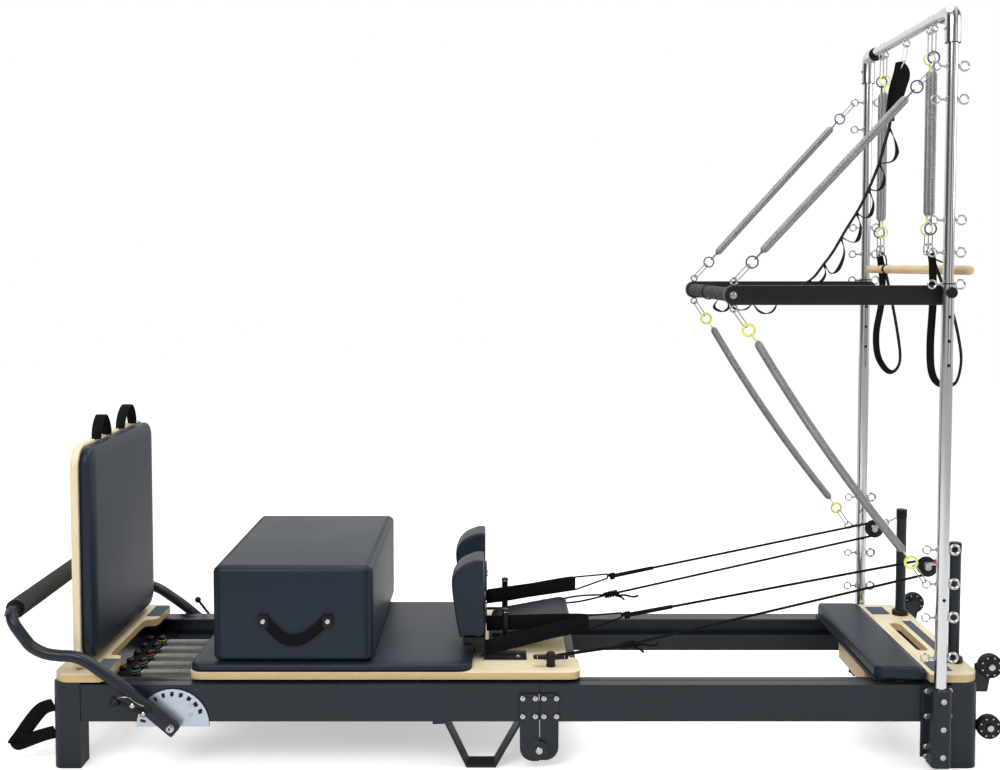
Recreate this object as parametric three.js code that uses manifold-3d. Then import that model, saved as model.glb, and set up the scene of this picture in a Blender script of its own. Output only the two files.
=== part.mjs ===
// A folding reformer bed with a half tower: frame in two hinged halves, sprung carriage,
// jumpboard, sitting box, footbar, rope pulleys and a post tower with its springs and bars.
// Millimetres. +X runs from the foot end to the tower end, +Z is up, Z 0 is the floor.
import * as THREE from "three";
import { mergeVertices } from "three/addons/utils/BufferGeometryUtils.js";
import Module from "manifold-3d";

const wasm = await Module();
wasm.setup();

// Clearances
const seatGap = 0.3;
const axleGap = 0.3;
const linkGap = 1;
const boreGap = 1;
const overrun = 4;
const weldDistance = 1e-4;

// Frame
const frameLength = 2485;
const frameCentreX = 31.5;
const splitOffset = 63.5;
const splitGap = 0.6;
const railOuterY = 325;
const railWidth = 60;
const railBottomZ = 127;
const railHeight = 100;
const trackDepth = 30;
const trackDrop = 50;
const legLength = 76;
const legDepth = 66;
const legStandProud = 3;
const legCorner = 26;
const boardLift = 7;
const boardThickness = 22;
const boardCorner = 45;
const beamLength = 52;

const splitX = frameCentreX + splitOffset;
const footEndX = frameCentreX - frameLength / 2;
const headEndX = frameCentreX + frameLength / 2;
const railTopZ = railBottomZ + railHeight;
const railInnerY = railOuterY - railWidth;
const trackY = railOuterY - trackDepth;
const trackZ = railTopZ - trackDrop;
const deckZ = railTopZ + boardLift;
const boardTopZ = deckZ + boardThickness;
const legOuterY = railOuterY + legStandProud;
const legInnerY = legOuterY - legDepth;
const footRailStartX = footEndX + legLength + seatGap;
const headRailEndX = headEndX - legLength - seatGap;

// Tower
const postInset = 116;
const postStandoff = 30;
const lowerPostRadius = 16;
const upperPostRadius = 14;
const towerHeight = 2024;
const postX = headEndX - postInset;
const postY = railOuterY + postStandoff;
const socketBottomZ = 21;
const socketFloor = 5;
const barPivotDrop = 745;
const barPivotZ = towerHeight - barPivotDrop;
const holePitch = 63.5;
const holeRadius = 4.5;
const eyeRadius = 10.5;
const eyeWire = 3;
const nearEyeReach = 42;
const farEyeReach = 30;
const eyeHeightShares = [0.92045, 0.87846, 0.7248, 0.6833, 0.6423, 0.29644, 0.25124, 0.20702, 0.15366];
const eyeHeights = eyeHeightShares.map((share) => share * towerHeight);

// Carriage
const carriageStandoff = 361;
const carriageLength = 1058;
const carriageOverhang = 40;
const carriageStartX = footEndX + carriageStandoff;
const carriageEndX = carriageStartX + carriageLength;
const carriageHalfWidth = railInnerY + carriageOverhang;
const wheelRadius = 20;
const wheelWidth = 20;
const wheelAxleRadius = 5;
const wheelStationShares = [0.095, 0.851];

// Geometry tools
function solidOf(geometry) {
  const bare = geometry.index ? geometry.toNonIndexed() : geometry.clone();
  bare.deleteAttribute("normal");
  bare.deleteAttribute("uv");
  const merged = mergeVertices(bare, weldDistance);
  return new wasm.Manifold(
    new wasm.Mesh({
      numProp: 3,
      vertProperties: merged.attributes.position.array,
      triVerts: new Uint32Array(merged.index.array),
    }),
  );
}

function geometryOf(solid) {
  const mesh = solid.getMesh();
  const places = new Float32Array(mesh.numVert * 3);
  for (let i = 0; i < mesh.numVert; i++) {
    const start = i * mesh.numProp;
    places.set(mesh.vertProperties.subarray(start, start + 3), i * 3);
  }
  const geometry = new THREE.BufferGeometry();
  geometry.setAttribute("position", new THREE.BufferAttribute(places, 3));
  geometry.setIndex(new THREE.BufferAttribute(new Uint32Array(mesh.triVerts), 1));
  geometry.computeVertexNormals();
  return geometry;
}

const join = (...pieces) => geometryOf(pieces.map(solidOf).reduce((a, b) => a.add(b)));
const cut = (base, ...tools) =>
  geometryOf(tools.map(solidOf).reduce((a, b) => a.subtract(b), solidOf(base)));
const keep = (base, tool) => geometryOf(solidOf(base).intersect(solidOf(tool)));

// The same piece on the other side of the bed
function mirrored(geometry) {
  const flat = geometry.index ? geometry.toNonIndexed() : geometry.clone();
  const source = flat.attributes.position;
  const places = new Float32Array(source.count * 3);
  for (let i = 0; i < source.count; i += 3) {
    [0, 2, 1].forEach((corner, k) => {
      const from = i + corner;
      places.set([source.getX(from), -source.getY(from), source.getZ(from)], (i + k) * 3);
    });
  }
  const geometryOut = new THREE.BufferGeometry();
  geometryOut.setAttribute("position", new THREE.BufferAttribute(places, 3));
  geometryOut.computeVertexNormals();
  return geometryOut;
}

const vec = (x, y, z) => new THREE.Vector3(x, y, z);
const flatVec = (x, y) => new THREE.Vector2(x, y);
const basis = (x, y, z) => new THREE.Matrix4().makeBasis(vec(...x), vec(...y), vec(...z));

function block(x0, x1, y0, y1, z0, z1) {
  const geometry = new THREE.BoxGeometry(x1 - x0, y1 - y0, z1 - z0);
  return geometry.translate((x0 + x1) / 2, (y0 + y1) / 2, (z0 + z1) / 2);
}

function rod(from, to, radius, sides = 10) {
  const axis = to.clone().sub(from);
  const geometry = new THREE.CylinderGeometry(radius, radius, axis.length(), sides);
  const turn = new THREE.Quaternion().setFromUnitVectors(vec(0, 1, 0), axis.normalize());
  const middle = from.clone().add(to).multiplyScalar(1 / 2);
  return geometry.applyQuaternion(turn).translate(middle.x, middle.y, middle.z);
}

const rodX = (x0, x1, y, z, radius, sides) => rod(vec(x0, y, z), vec(x1, y, z), radius, sides);
const rodY = (x, y0, y1, z, radius, sides) => rod(vec(x, y0, z), vec(x, y1, z), radius, sides);
const rodZ = (x, y, z0, z1, radius, sides) => rod(vec(x, y, z0), vec(x, y, z1), radius, sides);

function prism(shape, depth, curveSegments = 4) {
  return new THREE.ExtrudeGeometry(shape, { depth, bevelEnabled: false, curveSegments });
}

// An outline in Y and Z pulled along X, in X and Z pulled along Y, or in X and Y pulled up
const turnX = basis([0, 1, 0], [0, 0, 1], [1, 0, 0]);
const turnY = basis([1, 0, 0], [0, 0, 1], [0, -1, 0]);
const alongX = (shape, x0, x1, curve) =>
  prism(shape, x1 - x0, curve).applyMatrix4(turnX).translate(x0, 0, 0);
const alongY = (shape, y0, y1, curve) =>
  prism(shape, y1 - y0, curve).applyMatrix4(turnY).translate(0, y1, 0);
const alongZ = (shape, z0, z1, curve) => prism(shape, z1 - z0, curve).translate(0, 0, z0);

const outline = (points) => new THREE.Shape(points.map(([x, y]) => flatVec(x, y)));

// A rectangle whose corners have their own radii, from the low corner anticlockwise
function roundedOutline(x0, x1, y0, y1, radii) {
  const [a, b, c, d] = radii.map((r) => Math.max(r, seatGap));
  const shape = new THREE.Shape();
  shape.moveTo(x0 + a, y0);
  shape.lineTo(x1 - b, y0);
  shape.absarc(x1 - b, y0 + b, b, -Math.PI / 2, 0, false);
  shape.lineTo(x1, y1 - c);
  shape.absarc(x1 - c, y1 - c, c, 0, Math.PI / 2, false);
  shape.lineTo(x0 + d, y1);
  shape.absarc(x0 + d, y1 - d, d, Math.PI / 2, Math.PI, false);
  shape.lineTo(x0, y0 + a);
  shape.absarc(x0 + a, y0 + a, a, Math.PI, 1.5 * Math.PI, false);
  return shape;
}

// A flat band of even thickness along a line of points, open or closed anticlockwise
function bandOutline(points, thickness, closed = false) {
  const last = points.length - 1;
  const edge = (side) =>
    points.map((point, i) => {
      const before = points[closed ? (i + last) % (last + 1) : Math.max(i - 1, 0)];
      const after = points[closed ? (i + 1) % (last + 1) : Math.min(i + 1, last)];
      const across = flatVec(before.y - after.y, after.x - before.x).normalize();
      return point.clone().addScaledVector(across, (side * thickness) / 2);
    });
  if (!closed) return new THREE.Shape([...edge(1), ...edge(-1).reverse()]);
  const shape = new THREE.Shape(edge(-1));
  shape.holes.push(new THREE.Path(edge(1)));
  return shape;
}

const smoothLine = (points, count) =>
  new THREE.SplineCurve(points.map(([x, z]) => flatVec(x, z))).getPoints(count);

// A path that is followed point by point
class PointPath extends THREE.Curve {
  constructor(points) {
    super();
    this.points = points;
  }
  getPoint(share) {
    const place = share * (this.points.length - 1);
    const i = Math.min(Math.floor(place), this.points.length - 2);
    return this.points[i].clone().lerp(this.points[i + 1], place - i);
  }
  getPointAt(share) {
    return this.getPoint(share);
  }
  getTangentAt(share) {
    return this.getTangent(share);
  }
}

function tube(points, radius, sides) {
  const circle = new THREE.Shape();
  circle.absarc(0, 0, radius, 0, 2 * Math.PI, false);
  const settings = { curveSegments: sides / 2, steps: points.length - 1 };
  return new THREE.ExtrudeGeometry(circle, { ...settings, extrudePath: new PointPath(points) });
}

const spread = (from, to, count) =>
  [...Array(count).keys()].map((i) => from.clone().lerp(to, i / count));

// A ring whose hole faces along the given axis
function ring(centre, facing, radius, wire, around = 8, sides = 4) {
  const geometry = new THREE.TorusGeometry(radius, wire, sides, around);
  const turn = new THREE.Quaternion().setFromUnitVectors(vec(0, 0, 1), facing);
  return geometry.applyQuaternion(turn).translate(centre.x, centre.y, centre.z);
}

// A round tube through points that are swept one by one, with closed ends
function sweep(points, radius, sides) {
  const places = [];
  const faces = [];
  let across = null;
  points.forEach((point, i) => {
    const ahead = points[Math.min(i + 1, points.length - 1)];
    const behind = points[Math.max(i - 1, 0)];
    const along = ahead.clone().sub(behind).normalize();
    if (!across) across = Math.abs(along.z) < 0.9 ? vec(0, 0, 1) : vec(1, 0, 0);
    across = across.clone().addScaledVector(along, -across.dot(along)).normalize();
    const beside = along.clone().cross(across);
    for (let k = 0; k < sides; k++) {
      const angle = (2 * Math.PI * k) / sides;
      const place = point.clone().addScaledVector(across, radius * Math.cos(angle));
      places.push(...place.addScaledVector(beside, radius * Math.sin(angle)).toArray());
    }
  });
  for (let i = 0; i < points.length - 1; i++) {
    for (let k = 0; k < sides; k++) {
      const next = (k + 1) % sides;
      const [a, b] = [i * sides + k, i * sides + next];
      const [c, d] = [a + sides, b + sides];
      faces.push(a, b, c, b, d, c);
    }
  }
  const end = (points.length - 1) * sides;
  for (let k = 1; k < sides - 1; k++) faces.push(0, k + 1, k, end, end + k, end + k + 1);
  const geometry = new THREE.BufferGeometry();
  geometry.setAttribute("position", new THREE.BufferAttribute(new Float32Array(places), 3));
  geometry.setIndex(faces);
  return geometry;
}

// A spring wire from one end to the other, with a straight lead of one wire diameter at each end
const curlSteps = 8;
const wireSides = 5;
let leastCoilGap = Infinity;
function coil(from, to, coilRadius, wireRadius, curls, bow = vec(0, 0, 0)) {
  const along = to.clone().sub(from);
  const length = along.length();
  along.normalize();
  const across = Math.abs(along.y) < 0.9 ? vec(0, 1, 0) : vec(1, 0, 0);
  across.addScaledVector(along, -across.dot(along)).normalize();
  const beside = along.clone().cross(across);
  const lead = 2 * wireRadius;
  const total = curls * curlSteps;
  const points = [from.clone()];
  for (let i = 0; i <= total; i++) {
    const share = i / total;
    const angle = (2 * Math.PI * i) / curlSteps;
    const spread = coilRadius * Math.min(1, (2 * i) / curlSteps, (2 * (total - i)) / curlSteps);
    const place = from.clone().addScaledVector(along, lead + (length - 2 * lead) * share);
    place.addScaledVector(across, spread * Math.cos(angle));
    place.addScaledVector(beside, spread * Math.sin(angle));
    points.push(place.addScaledVector(bow, 4 * share * (1 - share)));
  }
  points.push(to.clone());
  points.forEach((a, i) =>
    points.slice(i + curlSteps - 2).forEach((b) => {
      leastCoilGap = Math.min(leastCoilGap, a.distanceTo(b) - 2 * wireRadius);
    }),
  );
  return sweep(points, wireRadius, wireSides);
}

// A cushion on its back: a rounded outline drawn in between its corners, with belly and crown
function cushion(length, width, height, corner, crown, drawIn, edgeRound) {
  const cornerSteps = 2;
  const sidePoints = 2;
  const crownInsetShare = 0.3;
  const crownRiseShare = 0.8;
  const bellyShares = [0.22, 0.78];
  const loop = (inset, z) => {
    const halfLength = length / 2 - inset;
    const halfWidth = width / 2 - inset;
    const radius = Math.max(corner - inset, edgeRound / 2);
    const places = [];
    for (let quarter = 0; quarter < 4; quarter++) {
      const [sx, sy] = [[1, 1], [-1, 1], [-1, -1], [1, -1]][quarter];
      for (let k = 0; k <= cornerSteps; k++) {
        const angle = (Math.PI / 2) * (quarter + k / cornerSteps);
        const x = sx * (halfLength - radius) + radius * Math.cos(angle);
        places.push([x, sy * (halfWidth - radius) + radius * Math.sin(angle)]);
      }
      for (let k = 1; k <= sidePoints; k++) {
        const share = (2 * k) / (sidePoints + 1) - 1;
        const pull = drawIn * (1 - share * share);
        const runX = halfLength - radius;
        const runY = halfWidth - radius;
        if (quarter === 0) places.push([-share * runX, halfWidth - pull]);
        if (quarter === 1) places.push([pull - halfLength, -share * runY]);
        if (quarter === 2) places.push([share * runX, pull - halfWidth]);
        if (quarter === 3) places.push([halfLength - pull, share * runY]);
      }
    }
    return places.map(([x, y]) => [x, y, z]);
  };
  const shrink = crownInsetShare * Math.min(length, width) / 2;
  const loops = [
    loop(edgeRound, 0),
    loop(0, bellyShares[0] * height),
    loop(0, bellyShares[1] * height),
    loop(edgeRound, height),
    loop(edgeRound + shrink, height + crownRiseShare * crown),
  ];
  const count = loops[0].length;
  const places = [[0, 0, 0], ...loops.flat(), [0, 0, height + crown]];
  const top = places.length - 1;
  const faces = [];
  for (let k = 0; k < count; k++) {
    const next = (k + 1) % count;
    faces.push(0, 1 + next, 1 + k);
    for (let level = 0; level < loops.length - 1; level++) {
      const a = 1 + level * count + k;
      const b = 1 + level * count + next;
      faces.push(a, b, a + count, b, b + count, a + count);
    }
    const start = 1 + (loops.length - 1) * count;
    faces.push(start + k, start + next, top);
  }
  const geometry = new THREE.BufferGeometry();
  geometry.setAttribute("position", new THREE.BufferAttribute(new Float32Array(places.flat()), 3));
  geometry.setIndex(faces);
  return geometry;
}

// Finishes
const finish = (color, roughness, metalness) => ({ color, roughness, metalness });
const slateSteel = finish(0x3a4048, 0.5, 0.4);
const blackSteel = finish(0x15171a, 0.5, 0.4);
const chrome = finish(0xc4c6c8, 0.2, 1);
const springSteel = finish(0x9a9a98, 0.35, 0.9);
const plateSteel = finish(0xb9c0c8, 0.4, 0.7);
const beech = finish(0xe6d3a5, 0.55, 0);
const slateVinyl = finish(0x36424f, 0.6, 0);
const greyFoam = finish(0x46494a, 0.9, 0);
const webbing = finish(0x0e0f11, 0.9, 0);
const blackRubber = finish(0x101113, 0.7, 0);

const tower = new THREE.Group();
function piece(name, geometry, look) {
  const mesh = new THREE.Mesh(geometry, new THREE.MeshStandardMaterial(look));
  mesh.name = name;
  tower.add(mesh);
}
function pair(name, geometry, look) {
  piece(name + "_near", geometry, look);
  piece(name + "_far", mirrored(geometry), look);
}

// Rails: a box section whose inner half stops at a ledge that the carriage wheels run on
const nearRailOutline = outline([
  [-railOuterY, railBottomZ],
  [-railInnerY, railBottomZ],
  [-railInnerY, trackZ],
  [-trackY, trackZ],
  [-trackY, railTopZ],
  [-railOuterY, railTopZ],
]);

// Hinge leaves: bolted to the outer faces where the bed folds, knuckles below the rails
const leafLength = 52;
const leafThickness = 6;
const leafTopZ = 204;
const pinZ = 50;
const knuckleRadius = 26;
const pinRadius = 9;
const leafShoulderZ = 82;
const leafLowZ = 21;
const leafRound = 36;
const footLeafEndX = splitX - splitGap / 2;
const headLeafStartX = splitX + splitGap / 2;
const footLeaf = roundedOutline(splitX - leafLength, footLeafEndX, leafLowZ, leafTopZ, [
  leafRound,
  0,
  0,
  0,
]);
const headLeaf = outline([
  [headLeafStartX, leafShoulderZ],
  [splitX + leafLength, leafShoulderZ],
  [splitX + leafLength, leafTopZ],
  [headLeafStartX, leafTopZ],
]);
const headEarTopZ = railBottomZ + overrun;
const headEar = roundedOutline(headLeafStartX, splitX + leafLength, leafLowZ, headEarTopZ, [
  0,
  leafRound,
  0,
  0,
]);
const leafOuterY = railOuterY + leafThickness;
const earOuterY = railOuterY - seatGap;
const earInnerY = earOuterY - leafThickness;
const pinEndY = earInnerY - leafThickness;

// Middle feet: flat strip bent to a tray shape under the foot half
const strutSpan = 199;
const strutInset = 51;
const strutTab = 36;
const strutFootLength = 74;
const strutFootInset = 68;
const strutRightX = splitX - strutInset;
const strutLeftX = strutRightX - strutSpan;
const strutFootRightX = strutRightX - strutFootInset;
const strutFootLeftX = strutFootRightX - strutFootLength;
const stripThickness = 8;
const stripMiddle = stripThickness / 2;
const middleFoot = alongY(
  bandOutline(
    [
      flatVec(strutLeftX - strutTab, railBottomZ - stripMiddle + seatGap),
      flatVec(strutLeftX, railBottomZ - stripMiddle + seatGap),
      flatVec(strutFootLeftX, stripMiddle),
      flatVec(strutFootRightX, stripMiddle),
      flatVec(strutRightX, railBottomZ - stripMiddle + seatGap),
    ],
    stripThickness,
  ),
  -railOuterY,
  -railInnerY,
);
const footBedCut = block(-frameLength, frameLength, -railOuterY - overrun, 0, -stripThickness, 0);

pair(
  "foot_rail",
  join(
    alongX(nearRailOutline, footRailStartX, footLeafEndX),
    alongY(footLeaf, -leafOuterY, -railOuterY + seatGap / 2),
    rodY(splitX, -leafOuterY, -railOuterY, pinZ, knuckleRadius, 14),
    rodY(splitX, -leafOuterY, -pinEndY, pinZ, pinRadius, 10),
    cut(middleFoot, footBedCut),
  ),
  slateSteel,
);

// Tower sockets: a flanged channel on the outer face of each head rail takes the post foot
const socketPlateLength = 82;
const socketPlateBottomZ = 33;
const channelLength = 52;
const channelDepth = 53;
const channelCorner = 14;
const boltRadius = 6;
const boltHead = 4;
const plateBoltShares = [
  [-0.78, 0.94],
  [0.72, 0.94],
  [-0.78, 0.58],
  [0.72, 0.58],
  [-0.78, 0.16],
  [-0.78, 0.03],
];
const socketPlate = block(
  postX - socketPlateLength / 2,
  Math.min(postX + socketPlateLength / 2, headRailEndX),
  -leafOuterY,
  -railOuterY - seatGap,
  socketPlateBottomZ,
  railTopZ,
);
const channel = alongZ(
  roundedOutline(
    postX - channelLength / 2,
    postX + channelLength / 2,
    -railOuterY - leafThickness / 2 - channelDepth,
    -railOuterY - leafThickness / 2,
    [channelCorner, channelCorner, 0, 0],
  ),
  socketBottomZ,
  railTopZ,
);
const postBore = rodZ(
  postX,
  -postY,
  socketBottomZ + socketFloor,
  railTopZ + overrun,
  lowerPostRadius + seatGap,
  10,
);
const socketBolt = (x, z) => rodY(x, -leafOuterY - boltHead, -leafOuterY + 1, z, boltRadius, 6);
const socketBolts = plateBoltShares.flatMap(([across, up]) =>
  socketBolt(
    postX + (across * socketPlateLength) / 2,
    socketPlateBottomZ + up * (railTopZ - socketPlateBottomZ),
  ),
);
pair("tower_socket", cut(join(socketPlate, channel, ...socketBolts), postBore), slateSteel);
pair(
  "head_rail",
  cut(
    join(
      alongX(nearRailOutline, headLeafStartX, headRailEndX),
      alongY(headLeaf, -leafOuterY, -railOuterY + seatGap / 2),
      alongY(headEar, -earOuterY, -earInnerY),
      rodY(splitX, -earOuterY, -earInnerY, pinZ, knuckleRadius, 14),
    ),
    rodY(splitX, -earOuterY - overrun, -earInnerY + overrun, pinZ, pinRadius + boreGap, 10),
  ),
  slateSteel,
);

// End frames: two rounded legs welded to a cross beam
const pegRadius = 8;
const pegY = 200;
const pegDepth = 60;
const jumpboardInset = 50;
const jumpboardBackX = footEndX + jumpboardInset;
const jumpboardThickness = 20;
const pegX = jumpboardBackX + jumpboardThickness / 2;
const footLeg = alongZ(
  roundedOutline(footEndX, footEndX + legLength, -legOuterY, -legInnerY, [legCorner, 0, 0, legCorner]),
  0,
  deckZ,
  3,
);
const footBeam = block(
  footEndX + legLength - beamLength,
  footEndX + legLength,
  -legInnerY - overrun,
  legInnerY + overrun,
  railBottomZ,
  railTopZ,
);
const pegHole = (y) =>
  rodZ(pegX, y, boardTopZ - pegDepth - overrun, boardTopZ + overrun, pegRadius + seatGap, 10);
piece(
  "foot_end_frame",
  cut(join(footLeg, mirrored(footLeg), footBeam), pegHole(-pegY), pegHole(pegY)),
  slateSteel,
);

const riserInset = 31;
const riserInsetY = 44;
const riserX = headEndX - riserInset;
const riserY = railInnerY - riserInsetY;
const riserRadius = 15;
const riserWall = 4;
const collarHeight = 12;
const collarRadius = 24;
const casterReach = 37;
const casterInset = 25;
const casterLift = 104;
const casterDrop = 15;
const caster = {
  radius: 33,
  width: 24,
  cheek: 6,
  axle: 5,
  x: headEndX + casterReach,
  y: railOuterY - casterInset,
  lowZ: casterLift,
  highZ: boardTopZ + casterDrop,
};
const headLeg = alongZ(
  roundedOutline(headEndX - legLength, headEndX, -legOuterY, -legInnerY, [0, legCorner, legCorner, 0]),
  0,
  deckZ,
  3,
);
const headBeam = block(
  headEndX - beamLength,
  headEndX - legCorner / 2,
  -legInnerY - overrun,
  legInnerY + overrun,
  railBottomZ,
  railTopZ,
);
const collarBaseZ = boardTopZ + 2 * seatGap;
const riserSocket = join(
  rodZ(riserX, -riserY, railBottomZ, collarBaseZ + collarHeight, riserRadius + riserWall, 10),
  rodZ(riserX, -riserY, collarBaseZ, collarBaseZ + collarHeight, collarRadius, 10),
);
const riserBore = rodZ(
  riserX,
  -riserY,
  railBottomZ - overrun,
  collarBaseZ + collarHeight + overrun,
  riserRadius + seatGap,
  10,
);
const cheekOuterY = caster.y - caster.width / 2 - seatGap;
const cheekInnerY = cheekOuterY - caster.cheek;
const cheekHalf = 13;
const casterAxle = (z) =>
  join(
    rodY(caster.x, -cheekInnerY, -caster.y - caster.width / 2 - caster.axle, z, caster.axle, 8),
    rodY(
      caster.x,
      -caster.y - caster.width / 2 - caster.axle,
      -caster.y - caster.width / 2 - seatGap,
      z,
      2 * caster.axle,
      8,
    ),
  );
const lowCheek = alongY(
  outline([
    [headEndX - legCorner, caster.lowZ - cheekHalf],
    [caster.x, caster.lowZ - cheekHalf],
    [caster.x + cheekHalf, caster.lowZ],
    [caster.x, caster.lowZ + cheekHalf],
    [headEndX - legCorner, caster.lowZ + cheekHalf],
  ]),
  -cheekOuterY,
  -cheekInnerY,
);
const boardOverhang = 2;
const boardEndX = headEndX + boardOverhang;
const highCheek = alongY(
  outline([
    [headEndX - legCorner, deckZ - 3 * cheekHalf],
    [caster.x, deckZ - 3 * cheekHalf],
    [caster.x + cheekHalf, caster.highZ],
    [caster.x, caster.highZ + cheekHalf],
    [boardEndX + seatGap, caster.highZ],
    [boardEndX + seatGap, deckZ - seatGap],
    [headEndX - legCorner, deckZ - seatGap],
  ]),
  -cheekOuterY,
  -cheekInnerY,
);
const nearCasterMounts = join(lowCheek, highCheek, casterAxle(caster.lowZ), casterAxle(caster.highZ));
piece(
  "head_end_frame",
  cut(
    join(
      headLeg,
      mirrored(headLeg),
      headBeam,
      riserSocket,
      mirrored(riserSocket),
      nearCasterMounts,
      mirrored(nearCasterMounts),
    ),
    riserBore,
    mirrored(riserBore),
  ),
  slateSteel,
);

// Transport wheels on the tower end
const tyreRound = 7;
const wheelBore = (radius) => radius + axleGap;
function transportWheel(y, z) {
  const half = caster.width / 2;
  const bore = wheelBore(caster.axle);
  const profile = [
    [bore, -half],
    [caster.radius - tyreRound, -half],
    [caster.radius, tyreRound - half],
    [caster.radius, half - tyreRound],
    [caster.radius - tyreRound, half],
    [bore, half],
    [bore, -half],
  ];
  const geometry = new THREE.LatheGeometry(profile.map(([r, h]) => flatVec(r, h)), 12);
  return geometry.translate(caster.x, y, z);
}
piece("transport_wheel_low_near", transportWheel(-caster.y, caster.lowZ), blackRubber);
piece("transport_wheel_low_far", transportWheel(caster.y, caster.lowZ), blackRubber);
piece("transport_wheel_high_near", transportWheel(-caster.y, caster.highZ), blackRubber);
piece("transport_wheel_high_far", transportWheel(caster.y, caster.highZ), blackRubber);

// End boards: beech boards on the end frames
const footBoardDepth = 103;
const footBoardEar = 40;
const footBoardInnerX = footEndX + footBoardDepth;
const footBoardEarX = footBoardInnerX + footBoardEar;
const earStartY = 195;
const earEndY = 140;
const footBoard = new THREE.Shape();
footBoard.moveTo(footEndX + boardCorner, -legOuterY);
footBoard.lineTo(footBoardEarX - boardCorner / 3, -legOuterY);
footBoard.lineTo(footBoardEarX, -legOuterY + boardCorner / 3);
footBoard.lineTo(footBoardEarX, -earStartY);
footBoard.bezierCurveTo(
  footBoardEarX,
  -earEndY,
  footBoardInnerX,
  -earStartY,
  footBoardInnerX,
  -earEndY,
);
footBoard.lineTo(footBoardInnerX, earEndY);
footBoard.bezierCurveTo(footBoardInnerX, earStartY, footBoardEarX, earEndY, footBoardEarX, earStartY);
footBoard.lineTo(footBoardEarX, legOuterY - boardCorner / 3);
footBoard.lineTo(footBoardEarX - boardCorner / 3, legOuterY);
footBoard.lineTo(footEndX + boardCorner, legOuterY);
footBoard.absarc(footEndX + boardCorner, legOuterY - boardCorner, boardCorner, Math.PI / 2, Math.PI);
footBoard.lineTo(footEndX, boardCorner - legOuterY);
footBoard.absarc(
  footEndX + boardCorner,
  boardCorner - legOuterY,
  boardCorner,
  Math.PI,
  1.5 * Math.PI,
);
piece(
  "foot_end_board",
  cut(alongZ(footBoard, deckZ + seatGap, boardTopZ, 5), pegHole(-pegY), pegHole(pegY)),
  beech,
);

const headBoardDepth = 132;
const slotInset = 34;
const headBoardStartX = headEndX - headBoardDepth;
const slotStartX = headBoardStartX + slotInset;
const slotLength = 34;
const slotHalfWidth = 130;
const slotCorner = 15;
const headBoard = alongZ(
  roundedOutline(headBoardStartX, boardEndX, -legOuterY, legOuterY, [0, boardCorner, boardCorner, 0]),
  deckZ + seatGap,
  boardTopZ,
  5,
);
const handSlot = alongZ(
  roundedOutline(slotStartX, slotStartX + slotLength, -slotHalfWidth, slotHalfWidth, [
    slotCorner,
    slotCorner,
    slotCorner,
    slotCorner,
  ]),
  deckZ - overrun,
  boardTopZ + overrun,
  3,
);
const riserHole = (y) =>
  rodZ(riserX, y, deckZ - overrun, boardTopZ + overrun, riserRadius + riserWall + seatGap, 10);
piece(
  "head_end_board",
  cut(headBoard, handSlot, riserHole(-riserY), riserHole(riserY)),
  beech,
);

// Platform pad: cushion on a shallow board that drops between the head rails
const padLength = 150;
const padEndGap = 2;
const padStartX = headBoardStartX - padEndGap - padLength;
const padSideInset = 5;
const padHalfWidth = railOuterY - padSideInset;
const padHeight = 32;
const padCrown = 4;
const padCorner = 60;
const padBoardDepth = 26;
const padBoardInset = 4;
const padCentreX = padStartX + padLength / 2;
const padSkid = 12;
const panelInset = 36;
const panelStartX = padStartX + panelInset;
const panelThickness = 18;
const panelHalfWidth = 130;
const panelBottomZ = 150;
const panelCorner = 40;
piece(
  "platform_pad",
  join(
    cushion(padLength, 2 * padHalfWidth, padHeight, padCorner, padCrown, 2, 5).translate(
      padCentreX,
      0,
      deckZ,
    ),
    block(
      padStartX + padBoardInset,
      padStartX + padLength - padBoardInset,
      seatGap + padBoardInset - railInnerY,
      railInnerY - seatGap - padBoardInset,
      deckZ - padBoardDepth,
      deckZ + overrun,
    ),
    block(
      padCentreX - padSkid,
      padCentreX + padSkid,
      -railOuterY + padSkid,
      railOuterY - padSkid,
      railTopZ + seatGap,
      deckZ + overrun,
    ),
    alongX(
      roundedOutline(-panelHalfWidth, panelHalfWidth, panelBottomZ, deckZ, [
        panelCorner,
        panelCorner,
        0,
        0,
      ]),
      panelStartX,
      panelStartX + panelThickness,
      4,
    ),
  ),
  slateVinyl,
);

// Quadrants: slotted half discs that lock the footbar
const pivotStandoff = 325;
const pivotX = footEndX + pivotStandoff;
const pivotZ = 120;
const quadrantRadius = 97;
const quadrantDrop = 5;
const quadrantThickness = 5;
const slotCount = 10;
const firstSlotAngle = (172 * Math.PI) / 180;
const lastSlotAngle = (28 * Math.PI) / 180;
const slotRing = 83;
const slotWide = 7;
const slotTall = 12;
const quadrant = new THREE.Shape();
quadrant.moveTo(pivotX + quadrantRadius, pivotZ - quadrantDrop);
quadrant.lineTo(pivotX + quadrantRadius, pivotZ);
quadrant.absarc(pivotX, pivotZ, quadrantRadius, 0, Math.PI, false);
quadrant.lineTo(pivotX - quadrantRadius, pivotZ - quadrantDrop);
for (let i = 0; i < slotCount; i++) {
  const share = i / (slotCount - 1);
  const angle = firstSlotAngle + (lastSlotAngle - firstSlotAngle) * share;
  const out = flatVec(Math.cos(angle), Math.sin(angle));
  const side = flatVec(-out.y, out.x);
  const centre = flatVec(pivotX, pivotZ).addScaledVector(out, slotRing);
  const corners = [[-1, -1], [1, -1], [1, 1], [-1, 1]].map(([a, b]) =>
    centre.clone().addScaledVector(out, (a * slotTall) / 2).addScaledVector(side, (b * slotWide) / 2),
  );
  quadrant.holes.push(new THREE.Path(corners));
}
const quadrantInnerY = railOuterY + seatGap;
const quadrantOuterY = quadrantInnerY + quadrantThickness;
pair("quadrant", alongY(quadrant, -quadrantOuterY, -quadrantInnerY, 10), plateSteel);

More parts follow.
